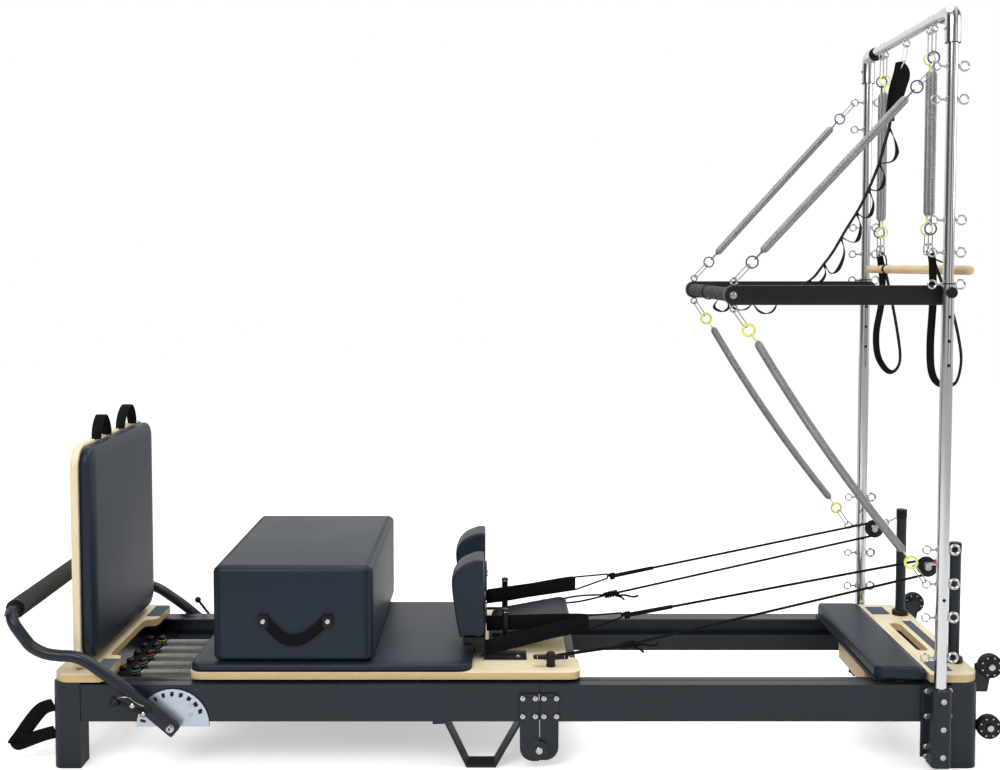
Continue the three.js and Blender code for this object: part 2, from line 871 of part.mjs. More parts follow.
// Footbar: one bent tube from pivot to pivot with a foam grip on its cross bar
const footbarRadius = 16;
const footbarStandoff = 25;
const footbarY = railOuterY + footbarStandoff;
const footbarReach = 430;
const footbarRise = 304;
const footbarBend = 44;
const footbarTail = 18;
const armBoxLength = 120;
const armBoxHeight = 34;
const armBoxWidth = 24;
const armRouteShares = [
  [0, 0],
  [0.065, 0.086],
  [0.156, 0.197],
  [0.249, 0.306],
  [0.34, 0.414],
  [0.431, 0.507],
  [0.524, 0.595],
  [0.604, 0.635],
  [0.678, 0.641],
  [0.769, 0.661],
  [0.848, 0.717],
  [0.923, 0.806],
  [0.981, 0.918],
];
const armPoint = ([reach, rise]) =>
  vec(pivotX - reach * footbarReach, -footbarY, pivotZ + rise * footbarRise);
const gripX = pivotX - footbarReach;
const gripZ = pivotZ + footbarRise;
const nearArm = armRouteShares.map(armPoint);
const farSide = (point) => vec(point.x, -point.y, point.z);
const bendShares = [
  [0.08, 0.3],
  [0.35, 0.09],
  [1, 0],
];
const nearBend = bendShares.map(([inward, drop]) =>
  vec(gripX, -footbarY + inward * footbarBend, gripZ - drop * footbarBend),
);
const nearHalf = [...nearArm, ...nearBend];
const footbarPath = [...nearHalf, ...nearHalf.map(farSide).reverse()];
const armAngle = Math.atan2(armRouteShares[3][1] * footbarRise, armRouteShares[3][0] * footbarReach);
const armBox = new THREE.BoxGeometry(armBoxLength, armBoxWidth, armBoxHeight);
armBox.translate(footbarTail - armBoxLength / 2, 0, 0);
armBox.rotateY(armAngle).translate(pivotX, -footbarY, pivotZ);
const pivotBoss = rodY(pivotX, -footbarY, -quadrantOuterY - seatGap, pivotZ, footbarRadius, 14);
piece(
  "footbar",
  join(
    tube(footbarPath, footbarRadius, 8),
    armBox,
    mirrored(armBox),
    pivotBoss,
    mirrored(pivotBoss),
  ),
  slateSteel,
);
const gripRadius = 27;
const gripInset = 54;
const gripHalfLength = footbarY - gripInset;
piece(
  "footbar_grip",
  cut(
    rodY(gripX, -gripHalfLength, gripHalfLength, gripZ, gripRadius, 14),
    rodY(gripX, -frameLength, frameLength, gripZ, footbarRadius + boreGap, 12),
  ),
  greyFoam,
);

// Spring bar: a cross bar between the foot rails with five capped posts
const springBarStandoff = 119;
const springBarLength = 64;
const springBarStartX = footEndX + springBarStandoff;
const springBarEndX = springBarStartX + springBarLength;
const springBarZ = trackZ + seatGap;
const springBarHeight = 8;
const springLipInset = 2;
const springLipX = springBarStartX + springLipInset;
const springLipThickness = 6;
const springLipRise = 24.7;
const springLipTopZ = springBarZ + springLipRise;
const springPostInset = 47;
const springPostX = springBarStartX + springPostInset;
const springPostRadius = 4;
const springPostRise = 34.7;
const springPostTopZ = springBarZ + springPostRise;
const springCapRadius = 11;
const springCapHeight = 8;
const springPitch = 67;
const springCount = 5;
const springY = (i) => (i - (springCount - 1) / 2) * springPitch;
const springKnob = (y) =>
  join(
    rodZ(springPostX, y, springBarZ, springPostTopZ, springPostRadius, 8),
    rodZ(springPostX, y, springPostTopZ - springCapHeight, springPostTopZ, springCapRadius, 10),
  );
const springBarPieces = [
  block(
    springBarStartX,
    springBarEndX,
    seatGap - trackY,
    trackY - seatGap,
    springBarZ,
    springBarZ + springBarHeight,
  ),
  block(
    springLipX,
    springLipX + springLipThickness,
    seatGap - trackY,
    trackY - seatGap,
    springBarZ,
    springLipTopZ,
  ),
];
for (let i = 0; i < springCount; i++) springBarPieces.push(springKnob(springY(i)));
piece("spring_bar", join(...springBarPieces), blackSteel);

// Carriage frame: side bars between the rails, cross bars, axle stubs, rope cleats
const sideBarInset = 27;
const sideBarOuterY = railInnerY - sideBarInset;
const sideBarWidth = 14;
const sideBarDepth = 44;
const sideBarBottomZ = deckZ - sideBarDepth;
const sideBarFrontInset = 60;
const sideBarRearInset = 20;
const sideBarStartX = carriageStartX + sideBarFrontInset;
const sideBarEndX = carriageEndX - sideBarRearInset;
const springHookInset = 280;
const springHookX = carriageStartX + springHookInset;
const crossBarWidth = 16;
const rearCrossBarInset = 188;
const rearCrossBarX = carriageEndX - rearCrossBarInset;
const wheelZ = trackZ + seatGap + wheelRadius;
const wheelShift = 1;
const wheelY = (railInnerY + trackY) / 2 - wheelShift;
const cleatInset = 79;
const cleatSideInset = 52;
const cleatX = carriageEndX - cleatInset;
const cleatY = carriageHalfWidth - cleatSideInset;
const cleatPostRadius = 11;
const cleatBarRise = 25;
const cleatBarHalf = 46;
const cleatBarRadius = 5;
const carriageDeckZ = deckZ;
const carriageBoardThickness = 20;
const carriageTopZ = carriageDeckZ + carriageBoardThickness;
const cleatBarZ = carriageTopZ + cleatBarRise;
const cleatCap = 11;
const cleatTopZ = cleatBarZ + cleatCap;
const wheelStations = wheelStationShares.map((share) => carriageStartX + share * carriageLength);
const sideBar = join(
  block(
    sideBarStartX,
    sideBarEndX,
    -sideBarOuterY,
    sideBarWidth - sideBarOuterY,
    sideBarBottomZ,
    carriageDeckZ + 1,
  ),
  ...wheelStations.map((x) =>
    rodY(x, -wheelY - wheelWidth / 2 - 2, -sideBarOuterY + 1, wheelZ, wheelAxleRadius, 10),
  ),
  rodZ(cleatX, -cleatY, carriageDeckZ, cleatTopZ, cleatPostRadius, 8),
  rodX(cleatX - cleatBarHalf, cleatX + cleatBarHalf, -cleatY, cleatBarZ, cleatBarRadius, 6),
);
const crossBar = (x) =>
  block(
    x,
    x + crossBarWidth,
    -sideBarOuterY + 1,
    sideBarOuterY - 1,
    sideBarBottomZ,
    carriageDeckZ + 1,
  );
const underframe = join(sideBar, mirrored(sideBar), crossBar(springHookX), crossBar(rearCrossBarX));

// Carriage wheels on the track ledges
function carriageWheel(x, y) {
  const half = wheelWidth / 2;
  const bore = wheelBore(wheelAxleRadius);
  const profile = [
    [bore, -half],
    [wheelRadius, -half],
    [wheelRadius, half],
    [bore, half],
    [bore, -half],
  ];
  const geometry = new THREE.LatheGeometry(profile.map(([r, h]) => flatVec(r, h)), 12);
  return geometry.translate(x, y, wheelZ);
}
["front", "rear"].forEach((place, i) => {
  piece(`carriage_wheel_${place}_near`, carriageWheel(wheelStations[i], -wheelY), blackRubber);
  piece(`carriage_wheel_${place}_far`, carriageWheel(wheelStations[i], wheelY), blackRubber);
});

// Carriage springs: hooked on the spring bar posts and the front cross bar
const springAxisRise = 15.7;
const springAxisZ = springBarZ + springAxisRise;
const carriageCoilRadius = 10;
const carriageWire = 1.5;
const carriageCurls = 2;
const hookRing = springPostRadius + linkGap + carriageWire;
for (let i = 0; i < springCount; i++) {
  const y = springY(i);
  const start = springPostX + hookRing;
  piece(
    `carriage_spring_${i + 1}`,
    join(
      ring(vec(springPostX, y, springAxisZ), vec(0, 0, 1), hookRing, carriageWire, 8, 3),
      coil(
        vec(start, y, springAxisZ),
        vec(springHookX - seatGap, y, springAxisZ),
        carriageCoilRadius,
        carriageWire,
        carriageCurls,
      ),
    ),
    springSteel,
  );
}

// Carriage board, with holes for the cleat stems and the shoulder rest pegs
const recessDepth = 30;
const recessHalf = 160;
const lobeStartY = 205;
const carriageCorner = 32;
const restPegInset = 168;
const restPegX = carriageEndX - restPegInset;
const restPegY = 190;
const restPegRadius = 6;
const boardPlan = new THREE.Shape();
boardPlan.moveTo(carriageStartX + carriageCorner, -carriageHalfWidth);
boardPlan.lineTo(carriageEndX - carriageCorner, -carriageHalfWidth);
boardPlan.quadraticCurveTo(
  carriageEndX,
  -carriageHalfWidth,
  carriageEndX,
  carriageCorner - carriageHalfWidth,
);
boardPlan.lineTo(carriageEndX, -lobeStartY);
boardPlan.bezierCurveTo(
  carriageEndX,
  -recessHalf,
  carriageEndX - recessDepth,
  -lobeStartY,
  carriageEndX - recessDepth,
  -recessHalf,
);
boardPlan.lineTo(carriageEndX - recessDepth, recessHalf);
boardPlan.bezierCurveTo(
  carriageEndX - recessDepth,
  lobeStartY,
  carriageEndX,
  recessHalf,
  carriageEndX,
  lobeStartY,
);
boardPlan.lineTo(carriageEndX, carriageHalfWidth - carriageCorner);
boardPlan.quadraticCurveTo(
  carriageEndX,
  carriageHalfWidth,
  carriageEndX - carriageCorner,
  carriageHalfWidth,
);
boardPlan.lineTo(carriageStartX + carriageCorner, carriageHalfWidth);
boardPlan.quadraticCurveTo(
  carriageStartX,
  carriageHalfWidth,
  carriageStartX,
  carriageHalfWidth - carriageCorner,
);
boardPlan.lineTo(carriageStartX, carriageCorner - carriageHalfWidth);
boardPlan.quadraticCurveTo(
  carriageStartX,
  -carriageHalfWidth,
  carriageStartX + carriageCorner,
  -carriageHalfWidth,
);
const boardHole = (x, y, radius) =>
  rodZ(x, y, carriageDeckZ - overrun, carriageTopZ + overrun, radius + seatGap, 10);
piece(
  "carriage_board",
  cut(
    join(alongZ(boardPlan, carriageDeckZ, carriageTopZ, 3), underframe),
    boardHole(restPegX, -restPegY, restPegRadius),
    boardHole(restPegX, restPegY, restPegRadius),
  ),
  beech,
);

const carriagePadRearInset = 296;
const carriagePadHeight = 20;
const carriagePadCrown = 3;
const carriagePadInset = 2;
const carriagePadLength = carriageLength - carriagePadRearInset - carriagePadInset;
const carriagePadCorner = 36;
const carriagePadDrawIn = 1.5;
const carriagePadRound = 4;
piece(
  "carriage_cushion",
  cushion(
    carriagePadLength,
    2 * (carriageHalfWidth - carriagePadInset),
    carriagePadHeight,
    carriagePadCorner,
    carriagePadCrown,
    carriagePadDrawIn,
    carriagePadRound,
  ).translate(
    carriageStartX + carriagePadInset + carriagePadLength / 2,
    0,
    carriageTopZ + seatGap,
  ),
  slateVinyl,
);

// Shoulder rests: padded block on a bent bracket with a rope peg and a plug-in pin
const restInset = 263;
const restBackX = carriageEndX - restInset;
const restDepth = 87;
const restLift = 25;
const restBottomZ = carriageTopZ + restLift;
const restRise = 258;
const restTopZ = restBottomZ + restRise;
const restInnerY = 110;
const restOuterY = 220;
const restFrontX = restBackX - restDepth;
const restHeight = restTopZ - restBottomZ;
const restProfileShares = [
  [0, 0],
  [0, 0.96],
  [0.05, 1],
  [0.25, 1],
  [0.5, 0.97],
  [0.72, 0.93],
  [0.9, 0.86],
  [1, 0.76],
  [0.98, 0.62],
  [0.92, 0.48],
  [0.86, 0.34],
  [0.84, 0.2],
  [0.85, 0.08],
  [0.8, 0],
];
const restOutline = outline(
  restProfileShares.map(([depth, rise]) => [
    restBackX - depth * restDepth,
    restBottomZ + rise * restHeight,
  ]),
);
const bracketPlate = 5;
const bracketBaseLength = 119;
const bracketBaseEndX = restBackX + bracketBaseLength;
const bracketInnerY = 136;
const bracketOuterY = 205;
const bracketBackX = restBackX + bracketPlate;
const restBaseZ = carriageTopZ + seatGap;
const bracketRise = 151;
const bracketTopZ = restBottomZ + bracketRise;
const pegPlateRise = 10;
const pegPlateZ = restBottomZ + pegPlateRise;
const ropePegStandoff = 60;
const ropePegX = restBackX + ropePegStandoff;
const ropePegY = 165;
const ropePegRadius = 8;
const ropePegLength = 108;
const ropePegTopZ = pegPlateZ + ropePegLength;
const shoulderRest = join(
  alongY(restOutline, -restOuterY, -restInnerY),
  block(
    restBackX - 1,
    bracketBackX,
    -bracketOuterY,
    -bracketInnerY,
    restBaseZ,
    bracketTopZ,
  ),
  block(
    restBackX - 1,
    bracketBaseEndX,
    -bracketOuterY,
    -bracketInnerY,
    restBaseZ,
    restBaseZ + bracketPlate,
  ),
  block(
    restBackX,
    ropePegX + ropePegRadius,
    -ropePegY - ropePegRadius,
    -ropePegY + ropePegRadius,
    pegPlateZ,
    pegPlateZ + bracketPlate,
  ),
  rodZ(ropePegX, -ropePegY, pegPlateZ, ropePegTopZ, ropePegRadius, 12),
  rodZ(restPegX, -restPegY, carriageDeckZ + seatGap, restBaseZ + 1, restPegRadius, 10),
);
pair("shoulder_rest", shoulderRest, slateVinyl);

// Headrest: padded board on a hinge barrel, propped up at rest
const headrestStandoff = 21;
const headrestHingeX = restBackX + headrestStandoff;
const barrelRadius = 9;
const headrestHingeZ = carriageTopZ + seatGap + barrelRadius;
const headrestLength = 232;
const headrestHalfWidth = 128;
const headrestHeight = 36;
const headrestTilt = (6.5 * Math.PI) / 180;
const headrestStart = 2;
const headrestCorner = 30;
const headrestCrown = 4;
const headrestDrawIn = 2;
const headrestRound = 6;
const headrestPad = cushion(
  headrestLength,
  2 * headrestHalfWidth,
  headrestHeight,
  headrestCorner,
  headrestCrown,
  headrestDrawIn,
  headrestRound,
);
headrestPad.translate(headrestStart + headrestLength / 2, 0, 0);
headrestPad.rotateY(-headrestTilt).translate(headrestHingeX, 0, headrestHingeZ);
piece(
  "headrest",
  join(
    headrestPad,
    rodY(headrestHingeX, -headrestHalfWidth, headrestHalfWidth, headrestHingeZ, barrelRadius, 12),
  ),
  slateVinyl,
);

// Sitting box: padded box with a webbing handle on its near face
const boxInset = 63;
const boxStartX = carriageStartX + boxInset;
const boxLength = 433;
const boxSideInset = 15;
const boxNearY = boxSideInset - carriageHalfWidth;
const boxWidth = 670;
const boxHeight = 258;
const boxBaseZ = carriageTopZ + carriagePadHeight + carriagePadCrown + 2 * seatGap;
const boxCentreX = boxStartX + boxLength / 2;
const boxCorner = 16;
const boxCrown = 3;
const boxDrawIn = 2;
const boxRound = 8;
const boxBody = cushion(boxLength, boxWidth, boxHeight, boxCorner, boxCrown, boxDrawIn, boxRound).translate(
  boxCentreX,
  boxNearY + boxWidth / 2,
  boxBaseZ,
);
const handleHalf = 88;
const handleDrop = 56;
const handleWidth = 22;
const handleThickness = 3;
const handleRise = 118;
const screwInset = 8;
const screwDrop = 5;
const screwRadius = 7;
const handleTopZ = boxBaseZ + handleRise;
const handleBand = alongY(
  bandOutline(
    smoothLine(
      [
        [boxCentreX - handleHalf, handleTopZ],
        [boxCentreX - handleHalf / 2, handleTopZ - handleDrop],
        [boxCentreX + handleHalf / 2, handleTopZ - handleDrop],
        [boxCentreX + handleHalf, handleTopZ],
      ],
      10,
    ),
    handleWidth,
  ),
  boxNearY - 2 * handleThickness,
  boxNearY - handleThickness,
);
const handleScrew = (x) =>
  rodY(
    x,
    boxNearY - 3 * handleThickness,
    boxNearY + overrun,
    handleTopZ - screwDrop,
    screwRadius,
    8,
  );
piece(
  "sitting_box",
  join(
    boxBody,
    handleBand,
    handleScrew(boxCentreX - handleHalf + screwInset),
    handleScrew(boxCentreX + handleHalf - screwInset),
  ),
  slateVinyl,
);

// Jumpboard: beech panel with two pegs and two webbing loops, and its pad
const jumpboardHalfWidth = 300;
const jumpboardHeight = 608.7;
const jumpboardCorner = 60;
const jumpboardBaseCorner = 24;
const panelBaseZ = boardTopZ + seatGap;
const jumpboardTopZ = panelBaseZ + jumpboardHeight;
const panelFrontX = jumpboardBackX + jumpboardThickness;
const loopOffset = 15;
const loopHalf = 27;
const loopRise = 33;
const loopWidth = 26;
const loopThickness = 4;
const loopSeat = 2;
const liftLoop = (y) => {
  const loopX = jumpboardBackX + loopOffset;
  const points = [];
  const count = 12;
  for (let i = 0; i < count; i++) {
    const angle = (2 * Math.PI * i) / count;
    points.push(
      flatVec(
        loopX + loopHalf * Math.cos(angle),
        jumpboardTopZ - loopSeat + loopRise * (1 + Math.sin(angle)),
      ),
    );
  }
  return alongY(bandOutline(points, loopThickness, true), y - loopWidth / 2, y + loopWidth / 2);
};
const loopY = 130;
piece(
  "jumpboard_panel",
  join(
    alongX(
      roundedOutline(-jumpboardHalfWidth, jumpboardHalfWidth, panelBaseZ, jumpboardTopZ, [
        jumpboardBaseCorner,
        jumpboardBaseCorner,
        jumpboardCorner,
        jumpboardCorner,
      ]),
      jumpboardBackX,
      panelFrontX,
      4,
    ),
    rodZ(pegX, -pegY, boardTopZ - pegDepth, panelBaseZ + overrun, pegRadius, 10),
    rodZ(pegX, pegY, boardTopZ - pegDepth, panelBaseZ + overrun, pegRadius, 10),
    liftLoop(-loopY),
    liftLoop(loopY),
  ),
  beech,
);
const jumpPadHeight = 30;
const jumpPadCrown = 6;
const jumpPadMargin = 8;
const jumpPadLift = 22;
const jumpPadCorner = 50;
const jumpPadDrawIn = 2;
const jumpPadRound = 6;
const jumpPadBaseZ = boardTopZ + jumpPadLift;
const jumpPadTopZ = jumpboardTopZ - jumpPadMargin;
const jumpPad = cushion(
  jumpPadTopZ - jumpPadBaseZ,
  2 * (jumpboardHalfWidth - jumpPadMargin),
  jumpPadHeight,
  jumpPadCorner,
  jumpPadCrown,
  jumpPadDrawIn,
  jumpPadRound,
);
jumpPad.rotateY(Math.PI / 2).translate(panelFrontX + seatGap, 0, (jumpPadBaseZ + jumpPadTopZ) / 2);
piece("jumpboard_pad", jumpPad, slateVinyl);

// End strap: a webbing loop for lifting, screwed to the near foot leg
const strapReach = 89;
const strapTopZ = 205;
const strapLowZ = 44;
const strapWidth = 40;
const strapThickness = 4;
const strapInsetY = 8;
const endStrapShares = [
  [0, 1],
  [0.157, 0.907],
  [0.674, 0.534],
  [0.955, 0.248],
  [0.978, 0.037],
  [0.865, 0],
  [0.449, 0.137],
  [0, 0.273],
];
const endStrap = alongY(
  bandOutline(
    smoothLine(
      endStrapShares.map(([reach, rise]) => [
        footEndX - seatGap - strapThickness / 2 - reach * strapReach,
        strapLowZ + rise * (strapTopZ - strapLowZ),
      ]),
      18,
    ),
    strapThickness,
  ),
  -legOuterY + strapInsetY,
  -legOuterY + strapInsetY + strapWidth,
);
const outsideFrame = block(
  footEndX - frameLength,
  footEndX - seatGap,
  -frameLength,
  0,
  0,
  frameLength,
);
piece("end_strap", keep(endStrap, outsideFrame), webbing);

// Posts: a lower tube with adjustment holes, a slimmer upper tube, and eye bolts on both sides
const elbowWall = 3;
const crossbarZ = towerHeight - upperPostRadius - elbowWall;
const crossbarRadius = upperPostRadius;
const elbowRadius = upperPostRadius + elbowWall;
const elbowDrop = 46;
const upperPostRise = 22;
const upperPostStartZ = barPivotZ + upperPostRise;
const postTopZ = crossbarZ - crossbarRadius - seatGap;
const pivotBoltRadius = 5;
const shankRadius = 3.2;
const hookedEyes = [0, 6];
const eyeBolt = (z, i) => [
  rodX(
    postX - nearEyeReach + eyeRadius,
    postX + farEyeReach - eyeRadius,
    -postY,
    z,
    shankRadius,
    3,
  ),
  ring(
    vec(postX - nearEyeReach, -postY, z),
    vec(0, 1, 0),
    eyeRadius,
    eyeWire,
    hookedEyes.includes(i) ? 8 : 6,
    3,
  ),
  ring(vec(postX + farEyeReach, -postY, z), vec(0, 1, 0), eyeRadius, eyeWire, 6, 3),
];
const crossHole = (z, radius, sides) =>
  rodY(postX, -postY - 2 * lowerPostRadius, -postY + 2 * lowerPostRadius, z, radius, sides);
const lowHoleShare = 0.2317;
const pegHoleHeights = [1, 2, 3].map((step) => barPivotZ - step * holePitch);
pegHoleHeights.push(lowHoleShare * towerHeight);
pair(
  "tower_post",
  cut(
    join(
      rodZ(
        postX,
        -postY,
        socketBottomZ + socketFloor + seatGap,
        upperPostStartZ,
        lowerPostRadius,
        10,
      ),
      rodZ(postX, -postY, upperPostStartZ - overrun, postTopZ, upperPostRadius, 10),
      ...eyeHeights.flatMap(eyeBolt),
    ),
    crossHole(barPivotZ, pivotBoltRadius + boreGap, 10),
    ...pegHoleHeights.map((z) => crossHole(z, holeRadius, 5)),
  ),
  chrome,
);

// Crossbar with its corner elbows and five hanging eyes
const hangEyeRadius = 9;
const hangEyeWire = 2.5;
const strapHangY = 220;
const barHangY = 190;
const hangYs = [-strapHangY, -barHangY, 0, barHangY, strapHangY];
const hangEyeZ = crossbarZ - crossbarRadius - hangEyeRadius;
const nearElbow = cut(
  join(
    rodZ(postX, -postY, postTopZ - elbowDrop, towerHeight, elbowRadius, 12),
    rodY(postX, -postY - elbowRadius + 2, -postY + elbowDrop, crossbarZ, elbowRadius, 12),
  ),
  rodZ(
    postX,
    -postY,
    postTopZ - elbowDrop - overrun,
    postTopZ + seatGap,
    upperPostRadius + seatGap,
    10,
  ),
);
piece(
  "tower_crossbar",
  join(
    rodY(
      postX,
      -postY + elbowDrop - overrun,
      postY - elbowDrop + overrun,
      crossbarZ,
      crossbarRadius,
      12,
    ),
    nearElbow,
    mirrored(nearElbow),
    ...hangYs.map((y) =>
      ring(vec(postX, y, hangEyeZ), vec(0, 1, 0), hangEyeRadius, hangEyeWire, 8, 3),
    ),
  ),
  chrome,
);

// Push-through bar: two flat arms on bolts through the posts, joined by a round end bar
const armHeight = 52;
const armThickness = 25;
const armClearance = 3;
const armOuterY = postY - lowerPostRadius - armClearance;
const armInnerY = armOuterY - armThickness;
const armDrop = 8;
const armReach = 578;
const armTail = 24;
const armCorner = 20;
const armZ = barPivotZ - armDrop;
const armEndX = postX - armReach;
const armTailX = postX + armTail;
const endBarRadius = 19;
const endBarInset = 22;
const endBarX = armEndX + endBarInset;
const knobRadius = 15;
const knobLength = 18;
const barEyeInset = 26;
const barEyeX = armEndX + barEyeInset;
const barEyeY = (armOuterY + armInnerY) / 2;
const barEyeStandoff = 1;
const barEyeZ = armHeight / 2 + hangEyeRadius + barEyeStandoff;
const pushArm = join(
  alongY(
    roundedOutline(armEndX, armTailX, armZ - armHeight / 2, armZ + armHeight / 2, [
      armCorner,
      armCorner,
      armCorner,
      armCorner,
    ]),
    -armOuterY,
    -armInnerY,
    2,
  ),
  rodY(postX, -postY - lowerPostRadius - knobLength, -armOuterY + 1, barPivotZ, pivotBoltRadius, 10),
  rodY(
    postX,
    -postY - lowerPostRadius - seatGap - knobLength,
    -postY - lowerPostRadius - seatGap,
    barPivotZ,
    knobRadius,
    8,
  ),
  ring(vec(barEyeX, -barEyeY, armZ + barEyeZ), vec(0, 1, 0), hangEyeRadius, hangEyeWire, 8, 3),
  ring(vec(barEyeX, -barEyeY, armZ - barEyeZ), vec(0, 1, 0), hangEyeRadius, hangEyeWire, 8, 3),
);
piece(
  "push_through_bar",
  join(
    pushArm,
    mirrored(pushArm),
    rodY(endBarX, -armInnerY - 1, armInnerY + 1, armZ, endBarRadius, 12),
  ),
  blackSteel,
);

// Links: flat stadium loops that hook a ring at each end
const linkBar = 4;
const linkThickness = 4;
function link(from, to, facing, wire) {
  const along = to.clone().sub(from);
  const length = along.length();
  along.normalize();
  const across = facing.clone().addScaledVector(along, -facing.dot(along)).normalize();
  const inner = wire + linkGap;
  const oval = (half) => {
    const path = new THREE.Shape();
    path.absarc(length, 0, half, -Math.PI / 2, Math.PI / 2, false);
    path.absarc(0, 0, half, Math.PI / 2, 1.5 * Math.PI, false);
    return path;
  };
  const shape = oval(inner + linkBar);
  shape.holes.push(oval(inner));
  const geometry = prism(shape, linkThickness, 2).translate(0, 0, -linkThickness / 2);
  const turn = new THREE.Matrix4().makeBasis(along, across, along.clone().cross(across));
  return geometry.applyMatrix4(turn).translate(from.x, from.y, from.z);
}

// Tower springs: an eye link, a coloured ring and the coil, and the same again at the other end
const springRing = 16;
const springRingWire = 2.6;
const towerCoilRadius = 8;
const towerWire = 1.6;
const sunk = 1.7;
function towerSpring(topEye, topWire, lowEye, lowWire, facing, linkLengths, curls, bow) {
  const along = lowEye.centre.clone().sub(topEye.centre).normalize();
  const topHook = topEye.centre.clone().addScaledVector(along, topEye.radius);
  const lowHook = lowEye.centre.clone().addScaledVector(along, -lowEye.radius);
  const topLinkEnd = topHook.clone().addScaledVector(along, linkLengths[0]);
  const lowLinkEnd = lowHook.clone().addScaledVector(along, -linkLengths[1]);
  const ringOut = (wire) => springRing + wire + linkGap + sunk - springRingWire;
  const topRing = topLinkEnd.clone().addScaledVector(along, ringOut(topWire));
  const lowRing = lowLinkEnd.clone().addScaledVector(along, -ringOut(lowWire));
  const span = facing.clone().addScaledVector(along, -facing.dot(along)).normalize();
  return join(
    link(topHook, topLinkEnd, facing, topWire),
    link(lowHook, lowLinkEnd, facing, lowWire),
    ring(topRing, span, springRing, springRingWire, 8, 3),
    ring(lowRing, span, springRing, springRingWire, 8, 3),
    coil(
      topRing.clone().addScaledVector(along, springRing + sunk),
      lowRing.clone().addScaledVector(along, -springRing - sunk),
      towerCoilRadius,
      towerWire,
      curls,
      bow,
    ),
  );
}

const eyeAt = (x, y, z, radius) => ({ centre: vec(x, y, z), radius });
const upperEye = eyeAt(postX - nearEyeReach, -postY, eyeHeights[0], eyeRadius);
const lowerEye = eyeAt(postX - nearEyeReach, -postY, eyeHeights[6], eyeRadius);
const barTopEye = eyeAt(barEyeX, -barEyeY, armZ + barEyeZ, hangEyeRadius);
const barLowEye = eyeAt(barEyeX, -barEyeY, armZ - barEyeZ, hangEyeRadius);
const topLinkLength = 26;
const lowLinkLength = 30;
const barLinks = [topLinkLength, lowLinkLength];
const barCurls = 6;
const lowerBowBack = 10;
const lowerBowDrop = 8;
const lowerBow = vec(-lowerBowBack, 0, -lowerBowDrop);
pair(
  "upper_bar_spring",
  towerSpring(upperEye, eyeWire, barTopEye, hangEyeWire, vec(0, 1, 0), barLinks, barCurls),
  springSteel,
);
pair(
  "lower_bar_spring",
  towerSpring(barLowEye, hangEyeWire, lowerEye, eyeWire, vec(0, 1, 0), barLinks, barCurls, lowerBow),
  springSteel,
);

// Hanging springs: two for the roll-down bar, two for the hand straps
const hangRingDrop = 575;
const hangRingZ = towerHeight - hangRingDrop;
const hangCurls = 3;
const hangTopLink = 36;
const hangLowLink = 24;
const hangLinks = [hangTopLink, hangLowLink];
const clipRadius = 8;
const hangTop = (y) => eyeAt(postX, y, hangEyeZ, hangEyeRadius);
const clipEye = (y) =>
  eyeAt(postX, y, hangRingZ - springRing - hangLowLink - clipRadius, clipRadius);
const clipWire = 2.5;
const hangingSpring = (y) =>
  towerSpring(hangTop(y), hangEyeWire, clipEye(y), clipWire, vec(0, 1, 0), hangLinks, hangCurls);
pair("bar_hanging_spring", hangingSpring(hangYs[1]), springSteel);
pair("strap_hanging_spring", hangingSpring(hangYs[0]), springSteel);

// Roll-down bar: a turned beech dowel on two cords, stored askew
const rollBarDrop = 113;
const rollBarZ = hangRingZ - rollBarDrop;
const rollBarRadius = 13;
const rollBarHalf = 305;
const rollBarSkewShare = 0.13;
const rollBarOffset = 39;
const rollCordRadius = 2.5;
const rollBarX = (y) => postX + rollBarOffset - rollBarSkewShare * y;
const rollHanger = (y) =>
  join(
    ring(clipEye(y).centre, vec(0, 1, 0), clipEye(y).radius, clipWire, 8, 4),
    rod(
      clipEye(y).centre.clone().addScaledVector(vec(0, 0, -1), clipEye(y).radius),
      vec(rollBarX(y), y, rollBarZ),
      rollCordRadius,
      6,
    ),
  );
piece(
  "roll_down_bar",
  join(
    rod(
      vec(rollBarX(-rollBarHalf), -rollBarHalf, rollBarZ),
      vec(rollBarX(rollBarHalf), rollBarHalf, rollBarZ),
      rollBarRadius,
      14,
    ),
    rollHanger(hangYs[1]),
    rollHanger(hangYs[3]),
  ),
  beech,
);

// Hand straps: cotton loops on the outer hanging springs
const handStrapWidth = 22;
const handStrapThickness = 3;
const strapClipZ = clipEye(0).centre.z;
const strapStem = 3;
const handStrapSpread = 94;
const handStrapDrop = 360;
const handStrapTopDrop = 29;
const handStrapTopZ = strapClipZ - handStrapTopDrop;
const strapRoute = (shares) =>
  shares.map(([out, down]) => [postX + out * handStrapSpread, handStrapTopZ - down * handStrapDrop]);
function handStrap(y, points) {
  const curve = new THREE.SplineCurve(points.map(([x, z]) => flatVec(x, z)));
  const line = curve.getPoints(17).slice(0, -1);
  return join(
    alongY(bandOutline(line, handStrapThickness, true), y - handStrapWidth / 2, y + handStrapWidth / 2),
    ring(vec(postX, y, strapClipZ), vec(0, 1, 0), clipRadius, clipWire, 8, 3),
    rodZ(
      postX,
      y,
      handStrapTopZ - handStrapThickness / 3,
      strapClipZ - clipRadius + handStrapThickness / 3,
      strapStem,
      6,
    ),
  );
}
const nearStrapShares = [
  [0, 0],
  [-0.128, 0.075],
  [-0.064, 0.367],
  [0.149, 0.811],
  [0.511, 0.978],
  [0.904, 0.894],
  [1, 0.7],
  [0.723, 0.394],
  [0.298, 0.089],
  [0.128, 0.006],
  [0, 0],
];
const farStrapShares = [
  [0, 0],
  [-0.16, 0.061],
  [-0.17, 0.172],
  [-0.128, 0.533],
  [0.021, 0.867],
  [0.34, 1],
  [0.681, 0.894],
  [0.755, 0.7],
  [0.596, 0.394],
  [0.404, 0.172],
  [0.298, 0.044],
  [0, 0],
];
